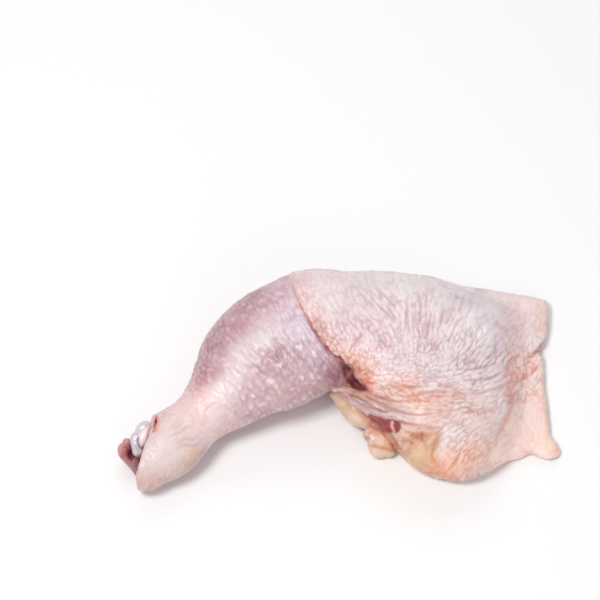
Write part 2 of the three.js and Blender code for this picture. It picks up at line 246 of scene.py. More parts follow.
def past_fold(x, w):
    """Distance from the edge of the thigh's skin, positive on the thigh."""
    return (x - np.interp(w, _fold[:, 1], _fold[:, 0])) / np.sqrt(1 + np.interp(w, _fold[:, 1], _slope) ** 2)


def at(p, z):
    """The point at height z that shows at p on the sight plane."""
    d = RIGHT * (p[0] - AIM @ RIGHT) + UP * (p[1] - AIM @ UP) + LOOK * DIST
    return CAM + d * ((z - CAM[2]) / d[2])


def stations(line, zs, half, tall):
    return [(*at(p, z), h, t) for p, z, h, t in zip(line, zs, half, tall)]


CUT_UNIT = np.array(CUT_N) / np.linalg.norm(CUT_N)
# thin rim of skin left along the top of the cut
RIM = stations([(-86.2, 24.7), (-87.8, 24.2), (-88.9, 22.1), (-89.7, 19.7), (-90.5, 17.3)], [21.0, 20.6, 19.6, 18.4, 17.0], [2.0, 1.7, 1.3, 1.1, 0.8], [2.6, 2.2, 1.7, 1.4, 1.0])


def body_field(P):
    w = P[:, 1] * SE + P[:, 2] * CE
    d = limb(P, DRUM)
    t = mound(P)
    t = smin(t, limb(P, STRAP), 6.0)
    t = smax(t, -egg(P, (19.8, 14.5, 3.0), (10.0, 4.2, 7.4), -40), 3.0)
    upper = step(44, 70, P[:, 1])
    thick = 1.5 + 1.3 * step(62, 80, P[:, 1]) + (3.6 + 1.0 * upper) * np.exp(-np.clip(t, 0, 60) / 8.0)
    f = smax(to_outline(P[:, 0], P[:, 1], FLAP_LINE) + 1.4, np.abs(P[:, 2] - 0.4 - thick) - thick, 2.8)
    s = past_fold(P[:, 0], w) + (0.40 * np.sin(1.5 * w) + 0.30 * np.sin(3.3 * w + 1.7 * np.sin(0.4 * w))) * step(40, 46, w)
    d = smax(d, (P - np.array(CUT_A)) @ CUT_UNIT, 2.2)
    d = smax(d, HEEL - P[:, 0], 1.4)
    b = smin(d, t, np.interp(w, [30, 55, 85, 100], [3.0, 5.0, 12.0, 14.0]))
    soft = step(41.0, 36.0, w)
    b = smin(b, smax(b - np.interp(w, [34, 50, 70, 95], [3.6, 2.6, 1.6, 0.4]), -s, 2.5 + 6.0 * soft), 1.0 + 4.0 * soft)
    b = smin(b, f, 11.0 + 2.0 * upper)
    b = smin(b, limb(P, RIM), 1.6)
    b = b + carve(P)
    return smax(b, -P[:, 2], 1.2)


# deep places, laid out on the sight plane
GAP_LINE = [(1.0, 53.3), (3.8, 49.0), (6.2, 45.1), (9.1, 41.3), (13.4, 38.4)]
CREVICE = [(-22.6, 92.2), (-21.1, 85.9), (-18.2, 79.2), (-13.9, 70.6), (-8.6, 61.9), (-3.4, 56.6), (1.0, 53.3)]
STRAP_TOP = [(-0.5, 39.8), (3.4, 40.3), (7.2, 39.4), (11.0, 37.9)]
MEAT_LINE = [(15.8, 24.5), (19.7, 22.6), (24.0, 21.1), (27.8, 20.2)]
GASH = [(-87.1, 25.4), (-87.3, 23.5), (-88.0, 20.6)]


def carve(P):
    """How far the deep folds are sunk into the surface at each point."""
    a, b = sight(P)
    out = np.zeros(len(P))
    m = (a > -30) & (a < 38) & (b > 10) & (b < 95) & (P[:, 2] > 2)
    if m.any():
        x, y, z = a[m], b[m], P[m, 2]
        d, u = to_line(x, y, GAP_LINE)
        wide = np.interp(u, [0, 0.3, 0.75, 1], [0.9, 2.1, 2.2, 1.0])
        g = np.interp(u, [0, 0.3, 0.7, 1], [1.0, 2.2, 4.0, 0.8]) * np.exp(-((d / wide) ** 2)) * step(6, 12, z)
        d, u = to_line(x, y, CREVICE)
        g = np.maximum(g, np.interp(u, [0, 0.2, 0.6, 1], [0.0, 0.3, 0.7, 1.3]) * np.exp(-((d / 1.1) ** 2)))
        d, u = to_line(x, y, STRAP_TOP)
        g = np.maximum(g, 0.6 * np.exp(-((d / 1.1) ** 2)))
        d, u = to_line(x, y, MEAT_LINE)
        out[m] = np.maximum(g, np.interp(u, [0, 0.4, 0.8, 1], [0.3, 0.9, 1.2, 0.6]) * np.exp(-((d / np.interp(u, [0, 0.5, 1], [1.2, 2.2, 2.4])) ** 2)))
    m = (a < -80) & (b > 14) & (b < 32)
    if m.any():
        d, u = to_line(a[m], b[m], GASH)
        out[m] = 1.3 * np.exp(-((d / 0.55) ** 2)) * np.sin(np.pi * np.clip(u, 0.08, 0.92))
    return out


# ------------------------------------------------------------------ meshing
def nets(field, lo, hi, h, coarse=4):
    """Closed quad mesh of a field's zero level, worked out only near the surface."""
    H = h * coarse
    n = [int(math.ceil((hi[i] - lo[i]) / H)) + 1 for i in range(3)]
    ax = [lo[i] + H * np.arange(n[i]) for i in range(3)]
    G = np.stack(np.meshgrid(*ax, indexing="ij"), -1).reshape(-1, 3)
    C = np.concatenate([field(G[i:i + 200000]) for i in range(0, len(G), 200000)]).reshape(n)
    near = np.abs(C) < H * 1.5
    sign = np.sign(C)
    for d in range(3):  # a change of sign between neighbours always counts
        a = [slice(None)] * 3
        b = [slice(None)] * 3
        a[d], b[d] = slice(0, -1), slice(1, None)
        ch = sign[tuple(a)] != sign[tuple(b)]
        near[tuple(a)] |= ch
        near[tuple(b)] |= ch
    N = [(k - 1) * coarse + 1 for k in n]
    idx = [np.clip((np.arange(k) + coarse // 2) // coarse, 0, n[i] - 1) for i, k in enumerate(N)]
    fine_near = near[np.ix_(*idx)]
    F = C[np.ix_(*idx)].astype(np.float32)
    F = np.where(F < 0, -9, 9).astype(np.float32)
    I = np.argwhere(fine_near)
    P = I * h + np.array(lo)
    vals = np.concatenate([field(P[i:i + 300000]) for i in range(0, len(P), 300000)])
    F[fine_near] = vals
    return surface(F, lo, h)


def surface(F, lo, h):
    nx, ny, nz = F.shape
    neg = F < 0
    s = np.zeros((nx - 1, ny - 1, nz - 1), np.uint8)
    for i in (0, 1):
        for j in (0, 1):
            for k in (0, 1):
                s += neg[i:nx - 1 + i, j:ny - 1 + j, k:nz - 1 + k]
    act = (s > 0) & (s < 8)
    index = np.full(act.shape, -1, np.int64)
    I, J, K = np.nonzero(act)
    index[I, J, K] = np.arange(len(I))
    acc = np.zeros((len(I), 3))
    cnt = np.zeros(len(I))
    for a in [(i, j, k) for i in (0, 1) for j in (0, 1) for k in (0, 1)]:
        for ax in range(3):
            if a[ax]:
                continue
            b = list(a)
            b[ax] = 1
            fa = F[I + a[0], J + a[1], K + a[2]]
            fb = F[I + b[0], J + b[1], K + b[2]]
            m = (fa < 0) != (fb < 0)
            p = np.tile(np.array(a, float), (m.sum(), 1))
            p[:, ax] += fa[m] / (fa[m] - fb[m])
            acc[m] += p
            cnt[m] += 1
    V = (np.stack([I, J, K], 1) + acc / cnt[:, None]) * h + np.array(lo)
    quads = []
    for ax in range(3):
        s0, s1 = [slice(None)] * 3, [slice(None)] * 3
        s0[ax], s1[ax] = slice(0, -1), slice(1, None)
        A, B = neg[tuple(s0)], neg[tuple(s1)]
        u, v = (ax + 1) % 3, (ax + 2) % 3
        Q = np.argwhere(A != B)
        Q = Q[(Q[:, u] > 0) & (Q[:, v] > 0) & (Q[:, u] < F.shape[u] - 1) & (Q[:, v] < F.shape[v] - 1)]
        inside = A[Q[:, 0], Q[:, 1], Q[:, 2]]

        def cell(du, dv):
            R = Q.copy()
            R[:, u] -= du
            R[:, v] -= dv
            return index[R[:, 0], R[:, 1], R[:, 2]]

        q = np.stack([cell(1, 1), cell(0, 1), cell(0, 0), cell(1, 0)], 1)
        q[~inside] = q[~inside][:, ::-1]
        quads.append(q)
    return V, np.vstack(quads)


def gradient(field, P, e=0.35):
    g = np.stack([field(P + d) - field(P - d) for d in np.eye(3) * e], 1) / (2 * e)
    return g


def settle(field, V, steps=2):
    """Moves vertices onto the field's zero level."""
    for _ in range(steps):
        g = gradient(field, V)
        f = field(V)
        V = V - g * np.clip(f / np.maximum((g * g).sum(1), 0.2), -0.4, 0.4)[:, None]
    return V


def relax(V, Q, rounds=2, k=0.5):
    """Evens out the quads."""
    e = np.vstack([Q[:, [0, 1]], Q[:, [1, 2]], Q[:, [2, 3]], Q[:, [3, 0]]])
    e = np.vstack([e, e[:, ::-1]])
    cnt = np.bincount(e[:, 0], minlength=len(V))
    for _ in range(rounds):
        m = np.stack([np.bincount(e[:, 0], weights=V[e[:, 1], i], minlength=len(V)) for i in range(3)], 1) / cnt[:, None]
        V = V + (m - V) * k
    return V


def refine(V, Q, flag):
    """Splits the flagged quads in four, and fans their plain neighbours, so that no edge is left open."""
    n = len(V)
    k = np.sort(np.stack([Q, np.roll(Q, -1, 1)], -1), -1)
    k = k[..., 0] * n + k[..., 1]
    cut = np.unique(k[flag])
    has = np.isin(k, cut)
    part = ~flag & has.any(1)
    plain = ~flag & ~part
    mids = n + np.minimum(np.searchsorted(cut, k), len(cut) - 1)
    F, G = Q[flag], Q[part]
    cf = n + len(cut) + np.arange(len(F))
    cg = n + len(cut) + len(F) + np.arange(len(G))
    W = np.vstack([V, (V[cut // n] + V[cut % n]) / 2, V[F].mean(1), V[G].mean(1)])
    quads = [Q[plain]] + [np.stack([F[:, c], mids[flag][:, c], cf, mids[flag][:, c - 1]], 1) for c in range(4)]
    tris = []
    for c in range(4):
        h, m, a, b = has[part][:, c], mids[part][:, c], G[:, c], G[:, (c + 1) % 4]
        tris += [np.stack([a[h], m[h], cg[h]], 1), np.stack([m[h], b[h], cg[h]], 1), np.stack([a[~h], b[~h], cg[~h]], 1)]
    return W, np.vstack(quads), np.vstack(tris)


def normals(V, Q):
    n = np.cross(V[Q[:, 2]] - V[Q[:, 0]], V[Q[:, 3]] - V[Q[:, 1]])
    N = np.zeros_like(V)
    for i in range(4):
        for k in range(3):
            N[:, k] += np.bincount(Q[:, i], weights=n[:, k], minlength=len(V))
    return N / np.maximum(np.linalg.norm(N, axis=1, keepdims=True), 1e-9)


def make_object(name, V, Q, T=None, smooth=True):
    mesh = bpy.data.meshes.new(name)
    T = np.zeros((0, 3), np.int64) if T is None else T
    mesh.vertices.add(len(V))
    mesh.vertices.foreach_set("co", ((V + SHIFT) / 1000).astype(np.float32).ravel())
    mesh.loops.add(Q.size + T.size)
    mesh.loops.foreach_set("vertex_index", np.concatenate([Q.ravel(), T.ravel()]).astype(np.int32))
    mesh.polygons.add(len(Q) + len(T))
    mesh.polygons.foreach_set("loop_start", np.concatenate([np.arange(len(Q)) * 4, Q.size + np.arange(len(T)) * 3]).astype(np.int32))
    mesh.update(calc_edges=True)
    mesh.validate()
    if smooth:
        mesh.polygons.foreach_set("use_smooth", np.ones(len(mesh.polygons), bool))
    ob = bpy.data.objects.new(name, mesh)
    bpy.context.scene.collection.objects.link(ob)
    return ob


# ------------------------------------------------------------------ noise
def lattice(i, j, k, seed):
    h = (i.astype(np.int64) * 374761393 + j.astype(np.int64) * 668265263 + k.astype(np.int64) * 2147483647 + seed * 144665) & 0xFFFFFFFF
    h = ((h ^ (h >> 13)) * 1274126177) & 0xFFFFFFFF
    h = ((h ^ (h >> 16)) * 2246822519) & 0xFFFFFFFF
    return ((h ^ (h >> 15)) & 0xFFFFFF) / float(0xFFFFFF)


def noise(P, size, seed):
    """Smooth value noise, -1 to 1, with features of about this size."""
    q = P / size + 100.5
    i = np.floor(q).astype(np.int64)
    f = q - i
    f = f * f * f * (f * (f * 6 - 15) + 10)
    out = 0
    for a in (0, 1):
        for b in (0, 1):
            for c in (0, 1):
                w = (f[:, 0] if a else 1 - f[:, 0]) * (f[:, 1] if b else 1 - f[:, 1]) * (f[:, 2] if c else 1 - f[:, 2])
                out = out + w * lattice(i[:, 0] + a, i[:, 1] + b, i[:, 2] + c, seed)
    return out * 2 - 1


def fbm(P, size, seed, octaves=3):
    out, amp, tot = 0, 1.0, 0
    for o in range(octaves):
        out = out + amp * noise(P + 17.3 * o, size / 2**o, seed + o)
        tot += amp
        amp *= 0.55
    return out / tot


# ------------------------------------------------------------------ wrinkles on the sight plane
A0, A1, B0, B1, PIXEL = -110.0, 110.0, -16.0, 106.0, 0.25
GA = np.arange(A0, A1, PIXEL)
GB = np.arange(B0, B1, PIXEL)


def spread(rows, a, b, reach):
    """Blends rows of (place, values) over the plane, nearest strongest. Angles are doubled so that they blend as lines."""
    rows = np.array(rows, float)
    num, den = 0, 0
    for r in rows:
        w = np.exp(-((a - r[0]) ** 2 + (b - r[1]) ** 2) / (2 * reach**2)) + 1e-9 / (1 + (a - r[0]) ** 2 + (b - r[1]) ** 2)
        vals = np.array([math.cos(2 * math.radians(r[2])) * r[5], math.sin(2 * math.radians(r[2])) * r[5], r[3], r[4], r[5]])
        num = num + w[..., None] * vals
        den = den + w
    v = num / den[..., None]
    return np.arctan2(v[..., 1], v[..., 0]) / 2, v[..., 2], v[..., 3], np.maximum(v[..., 4], 1.0)


def wrinkle_map(rows, seed, reach=7.0, shrink=1.0, round_=False):
    """Banded noise that runs along the local direction with the local spacing, about -1 to 1."""
    rng = np.random.RandomState(seed)
    total = np.zeros((len(GA), len(GB)))
    power = np.zeros_like(total)
    g = 1.9 * shrink
    ca, cb = np.meshgrid(np.arange(A0, A1, g), np.arange(B0, B1, g), indexing="ij")
    ca = (ca + rng.uniform(-0.5, 0.5, ca.shape) * g).ravel()
    cb = (cb + rng.uniform(-0.5, 0.5, cb.shape) * g).ravel()
    th, sp, amp, st = spread(rows, ca, cb, reach)
    if round_:
        th, st = rng.uniform(0, np.pi, len(ca)), np.ones(len(ca))
    th = th + rng.normal(0, 0.16, len(ca))
    ph = rng.uniform(0, 2 * np.pi, len(ca))
    lam = 2 * sp * shrink * rng.uniform(0.85, 1.2, len(ca))
    sa = 0.42 * lam
    sl = sa * np.clip(st, 1, 5)
    for i in range(len(ca)):
        r = 2.0 * sl[i]
        i0, i1 = int((ca[i] - r - A0) / PIXEL), int((ca[i] + r - A0) / PIXEL) + 1
        j0, j1 = int((cb[i] - r - B0) / PIXEL), int((cb[i] + r - B0) / PIXEL) + 1
        i0, j0 = max(i0, 0), max(j0, 0)
        if i1 <= i0 or j1 <= j0:
            continue
        x = GA[i0:i1, None] - ca[i]
        y = GB[None, j0:j1] - cb[i]
        c, s = math.cos(th[i]), math.sin(th[i])
        along, across = x * c + y * s, -x * s + y * c
        e = np.exp(-0.5 * ((along / sl[i]) ** 2 + (across / sa[i]) ** 2))
        total[i0:i1, j0:j1] += e * np.cos(2 * np.pi * across / lam[i] + ph[i])
        power[i0:i1, j0:j1] += e * e
    return total / np.sqrt(power * 0.5 + 1e-6)


def cobble_map(rows, seed, reach=6.0, shrink=1.0):
    """Skin cobbles on the sight plane: cells that follow the local direction and spacing. Gives how far from a crack each
    point is (0 in it, about 1 on top) and a value that is the same all over one cell."""
    rng = np.random.RandomState(seed)
    n = 26000
    ca, cb = rng.uniform(A0, A1, n), rng.uniform(B0, B1, n)
    th, sp, _, st = spread(rows, ca, cb, reach)
    th = th + rng.normal(0, 0.22, n)
    sp = sp * shrink * rng.uniform(0.8, 1.25, n)
    st = np.clip(st * rng.uniform(0.8, 1.2, n), 1.0, 4.5)
    cell = 8.0
    keep, grid = [], {}
    for i in range(n):
        kx, ky = int(ca[i] // cell), int(cb[i] // cell)
        near = [j for dx in (-1, 0, 1) for dy in (-1, 0, 1) for j in grid.get((kx + dx, ky + dy), ())]
        if near:
            x, y = ca[i] - ca[near], cb[i] - cb[near]
            c, s = math.cos(th[i]), math.sin(th[i])
            if ((((x * c + y * s) / st[i]) ** 2 + (-x * s + y * c) ** 2) < 0.85 * sp[i] ** 2).any():
                continue
        keep.append(i)
        grid.setdefault((kx, ky), []).append(i)
    F1 = np.full((len(GA), len(GB)), 3.0)
    F2 = np.full_like(F1, 3.0)
    val = np.zeros_like(F1)
    tone = rng.uniform(0, 1, n)
    flat = np.stack([np.repeat(GA, len(GB)), np.tile(GB, len(GA)), np.zeros(F1.size)], 1)
    wx = (0.9 * noise(flat, 3.4 * shrink, seed + 1) + 0.4 * noise(flat, 1.5 * shrink, seed + 2)).reshape(F1.shape)
    wy = (0.9 * noise(flat, 3.4 * shrink, seed + 3) + 0.4 * noise(flat, 1.5 * shrink, seed + 4)).reshape(F1.shape)
    for i in keep:
        r = 2.1 * sp[i] * st[i] + 1.5
        i0, i1 = max(int((ca[i] - r - A0) / PIXEL), 0), int((ca[i] + r - A0) / PIXEL) + 1
        j0, j1 = max(int((cb[i] - r - B0) / PIXEL), 0), int((cb[i] + r - B0) / PIXEL) + 1
        x = GA[i0:i1, None] - ca[i] + wx[i0:i1, j0:j1]
        y = GB[None, j0:j1] - cb[i] + wy[i0:i1, j0:j1]
        c, s = math.cos(th[i]), math.sin(th[i])
        d = np.sqrt(((x * c + y * s) / st[i]) ** 2 + (-x * s + y * c) ** 2) / sp[i]
        f1, f2, v = F1[i0:i1, j0:j1], F2[i0:i1, j0:j1], val[i0:i1, j0:j1]
        m = d < f1
        f2[...] = np.where(m, f1, np.minimum(f2, d))
        v[...] = np.where(m, tone[i], v)
        f1[...] = np.minimum(f1, d)
    return F2 - F1, val


def pick(M, a, b):
    """Bilinear value of a map at points of the plane."""
    x = np.clip((a - A0) / PIXEL, 0, M.shape[0] - 1.001)
    y = np.clip((b - B0) / PIXEL, 0, M.shape[1] - 1.001)
    i, j = x.astype(int), y.astype(int)
    fx, fy = x - i, y - j
    return (M[i, j] * (1 - fx) + M[i + 1, j] * fx) * (1 - fy) + (M[i, j + 1] * (1 - fx) + M[i + 1, j + 1] * fx) * fy


# place, direction of the wrinkles in degrees, their spacing, height, and how long they run
def row(p, angle, spacing, height, run):
    return (p[0][0], p[0][1], angle, spacing, height, run)


WRINKLES = [
    # thigh, along the folded edge
    row([(-19.7, 85.4)], 110, 2.40, 0.16, 1.2), row([(-16.8, 78.7)], 118, 2.64, 0.26, 1.3), row([(-12.5, 71.0)], 122, 2.88, 0.36, 1.4),
    row([(-6.7, 62.4)], 128, 2.88, 0.42, 1.4), row([(-1.0, 55.2)], 125, 2.88, 0.40, 1.3), row([(4.3, 48.0)], 110, 2.88, 0.34, 1.2),
    row([(-8.6, 81.6)], 115, 2.88, 0.14, 1.5), row([(-2.9, 71.0)], 125, 2.50, 0.18, 1.4), row([(6.7, 62.4)], 60, 2.40, 0.28, 1.3),
    row([(13.0, 56.6)], 58, 2.40, 0.3, 1.3), row([(9.6, 49.0)], 62, 2.40, 0.28, 1.2), row([(16.3, 45.6)], 20, 2.59, 0.26, 1.3),
    # thigh, upper left: taut and smooth
    row([(-6.2, 91.2)], 85, 2.40, 0.05, 1.5), row([(5.8, 88.8)], 120, 2.88, 0.05, 1.5), row([(3.4, 79.2)], 125, 2.88, 0.07, 1.5), row([(6.7, 71.0)], 130, 2.88, 0.12, 1.4),
    row([(17.8, 91.2)], 130, 2.88, 0.05, 1.5), row([(29.8, 91.2)], 100, 2.88, 0.04, 1.5), row([(44.2, 89.3)], 80, 2.88, 0.05, 1.5),
    # fan of creases that spreads from the middle of the thigh
    row([(13.4, 80.6)], 134, 3.36, 0.20, 2.4), row([(20.2, 75.8)], 133, 3.36, 0.28, 2.6), row([(17.8, 67.2)], 128, 2.64, 0.22, 1.6),
    row([(26.9, 79.2)], 118, 3.36, 0.30, 2.4), row([(27.8, 69.6)], 120, 2.40, 0.30, 2.0), row([(33.6, 79.2)], 98, 3.12, 0.30, 2.6),
    row([(34.6, 69.6)], 95, 2.40, 0.36, 2.4), row([(39.4, 77.8)], 88, 3.12, 0.32, 2.8), row([(41.3, 68.2)], 84, 2.30, 0.40, 2.4),
    row([(47.5, 75.8)], 76, 3.36, 0.30, 2.6), row([(49.0, 66.2)], 74, 2.30, 0.38, 2.2), row([(56.2, 73.0)], 68, 3.36, 0.24, 2.4),
    row([(57.6, 63.4)], 64, 2.30, 0.36, 2.2), row([(65.3, 67.2)], 62, 2.59, 0.26, 2.4), row([(67.2, 58.6)], 58, 2.30, 0.34, 2.4),
    row([(63.4, 79.2)], 60, 3.84, 0.08, 2.0), row([(73.0, 73.0)], 60, 3.84, 0.08, 2.0), row([(75.4, 63.4)], 56, 2.69, 0.22, 2.6), row([(76.8, 54.7)], 50, 2.40, 0.34, 2.6),
    # cobbled middle
    row([(30.7, 60.0)], 95, 1.92, 0.34, 1.1), row([(38.4, 56.6)], 90, 1.92, 0.36, 1.1), row([(24.0, 57.6)], 110, 2.02, 0.28, 1.1), row([(28.8, 50.4)], 20, 1.92, 0.30, 1.1),
    row([(39.4, 49.0)], 10, 1.92, 0.32, 1.3), row([(49.0, 55.2)], 40, 2.02, 0.34, 1.2), row([(22.1, 49.0)], 30, 2.21, 0.22, 1.2),
    # level waves below the middle
    row([(51.4, 48.0)], 8, 2.21, 0.34, 1.9), row([(59.5, 49.9)], 14, 2.30, 0.36, 2.2), row([(67.2, 47.0)], 20, 2.40, 0.40, 2.6), row([(73.9, 43.2)], 27, 2.59, 0.40, 2.8),
    row([(79.2, 39.4)], 32, 2.78, 0.34, 2.6), row([(44.2, 40.3)], 4, 2.30, 0.26, 2.2), row([(54.7, 39.4)], 8, 2.30, 0.32, 2.4), row([(64.3, 37.4)], 16, 2.40, 0.32, 2.6),
    row([(32.2, 40.8)], 170, 3.36, 0.16, 2.0), row([(34.6, 32.6)], 165, 3.36, 0.16, 2.2), row([(46.6, 31.7)], 2, 2.02, 0.22, 2.8), row([(58.6, 28.8)], 12, 2.02, 0.26, 2.8),
    row([(70.6, 30.7)], 24, 2.21, 0.28, 2.6), row([(77.8, 27.8)], 40, 2.40, 0.18, 2.2),
    # lower right of the thigh
    row([(63.4, 20.2)], 24, 2.02, 0.26, 2.4), row([(72.0, 20.2)], 35, 2.11, 0.22, 2.4), row([(56.2, 14.4)], 50, 1.82, 0.26, 1.6), row([(64.3, 9.6)], 58, 1.92, 0.24, 1.8),
    row([(56.2, 2.4)], 62, 2.40, 0.16, 2.8), row([(70.6, 9.6)], 48, 2.21, 0.14, 2), row([(49.0, 19.2)], 20, 2.21, 0.14, 1.8),
    # smooth fat along the lower left
    row([(34.6, 14.4)], 60, 2.40, 0.32, 1.4), row([(41.8, 7.2)], 60, 3.84, 0.08, 1.4), row([(44.2, 0.0)], 40, 3.84, 0.08, 1.4), row([(29.8, 19.2)], 150, 2.40, 0.32, 1.6),
    # stretched strap
    row([(3.4, 37.4)], 165, 1.92, 0.22, 4.5), row([(9.1, 34.6)], 148, 1.92, 0.30, 4.5), row([(15.4, 31.7)], 145, 2.02, 0.30, 4.5), row([(21.6, 29.3)], 152, 2.02, 0.26, 4.0),
    row([(27.4, 26.9)], 165, 2.16, 0.22, 3.4), row([(20.2, 35.5)], 158, 2.40, 0.22, 3.0), row([(27.4, 34.6)], 168, 2.40, 0.18, 2.4),
    # flap
    row([(77.8, 81.6)], 165, 2.88, 0.05, 2.0), row([(89.8, 79.2)], 5, 2.40, 0.06, 1.5), row([(96.0, 76.8)], 80, 2.40, 0.06, 1.5), row([(91.2, 67.2)], 75, 2.40, 0.10, 1.6),
    row([(86.4, 57.6)], 44, 2.21, 0.30, 1.9), row([(92.6, 53.8)], 48, 2.21, 0.36, 1.7), row([(89.3, 47.0)], 46, 2.21, 0.44, 1.8), row([(84.0, 42.2)], 42, 2.21, 0.36, 1.9),
    row([(94.6, 44.2)], 60, 2.30, 0.34, 1.7), row([(87.4, 36.5)], 58, 2.30, 0.30, 1.9), row([(88.3, 26.4)], 88, 2.16, 0.12, 1.8), row([(96.0, 31.2)], 85, 2.16, 0.06, 1.4),
    row([(85.0, 14.4)], 70, 2.40, 0.07, 1.8), row([(97.0, 16.8)], 75, 2.16, 0.08, 1.4), row([(101.8, 11.0)], 50, 2.40, 0.08, 1.6), row([(80.2, 7.2)], 20, 2.40, 0.08, 2.0),
    # drumstick: fine streaks beside the fold, wavy ridges in the middle, then nearly smooth between the follicles
    row([(-26.9, 85.4)], 116, 1.54, 0.05, 3.4), row([(-23.0, 77.8)], 120, 1.44, 0.34, 5.0), row([(-18.2, 70.1)], 124, 1.44, 0.44, 5.0), row([(-12.5, 61.9)], 128, 1.44, 0.42, 5.0),
    row([(-5.8, 52.8)], 131, 1.63, 0.12, 3.4), row([(-33.6, 73.0)], 116, 1.92, 0.10, 3.0), row([(-25.9, 66.2)], 120, 1.63, 0.28, 3.8), row([(-19.2, 57.6)], 122, 1.92, 0.24, 2.4),
    row([(-31.7, 60.0)], 118, 2.40, 0.34, 1.8), row([(-25.0, 53.8)], 122, 2.40, 0.34, 1.6), row([(-16.3, 49.9)], 112, 2.40, 0.16, 1.5), row([(-34.6, 50.9)], 126, 2.40, 0.28, 1.7),
    row([(-8.6, 46.1)], 120, 2.40, 0.05, 1.8), row([(-41.3, 40.8)], 125, 2.64, 0.14, 2.2), row([(-42.2, 72.0)], 125, 2.64, 0.09, 2.2), row([(-43.2, 57.6)], 125, 2.88, 0.10, 2.6),
    row([(-50.9, 44.2)], 125, 2.88, 0.10, 2.6), row([(-32.6, 36.0)], 115, 2.64, 0.10, 1.8), row([(-13.4, 37.4)], 112, 2.64, 0.10, 1.6), row([(-59.0, 60.0)], 120, 2.40, 0.12, 1.6),
    row([(-55.7, 69.6)], 120, 2.40, 0.12, 1.6), row([(-62.4, 47.0)], 120, 2.40, 0.10, 1.6), row([(-44.6, 26.4)], 112, 2.40, 0.14, 1.8), row([(-54.2, 31.2)], 120, 2.40, 0.10, 1.8),
    # ankle and hock
    row([(-60.5, 29.8)], 130, 2.16, 0.12, 1.5), row([(-68.6, 34.6)], 60, 2.16, 0.12, 1.4), row([(-63.8, 21.6)], 150, 2.16, 0.10, 1.4), row([(-71.0, 16.8)], 22, 2.02, 0.14, 2.0),
    row([(-76.8, 13.4)], 20, 2.02, 0.12, 1.8), row([(-81.6, 21.6)], 55, 2.16, 0.08, 1.3), row([(-83.0, 7.2)], 35, 1.73, 0.09, 1.2), row([(-90.2, 0.0)], 60, 1.73, 0.12, 1.1),
    row([(-90.2, -5.8)], 75, 1.73, 0.14, 1.2), row([(-75.8, 2.4)], 35, 1.73, 0.08, 1.2), row([(-71.0, 27.8)], 40, 2.16, 0.08, 1.4), row([(-85.4, 14.4)], 60, 1.73, 0.06, 1.2),
]

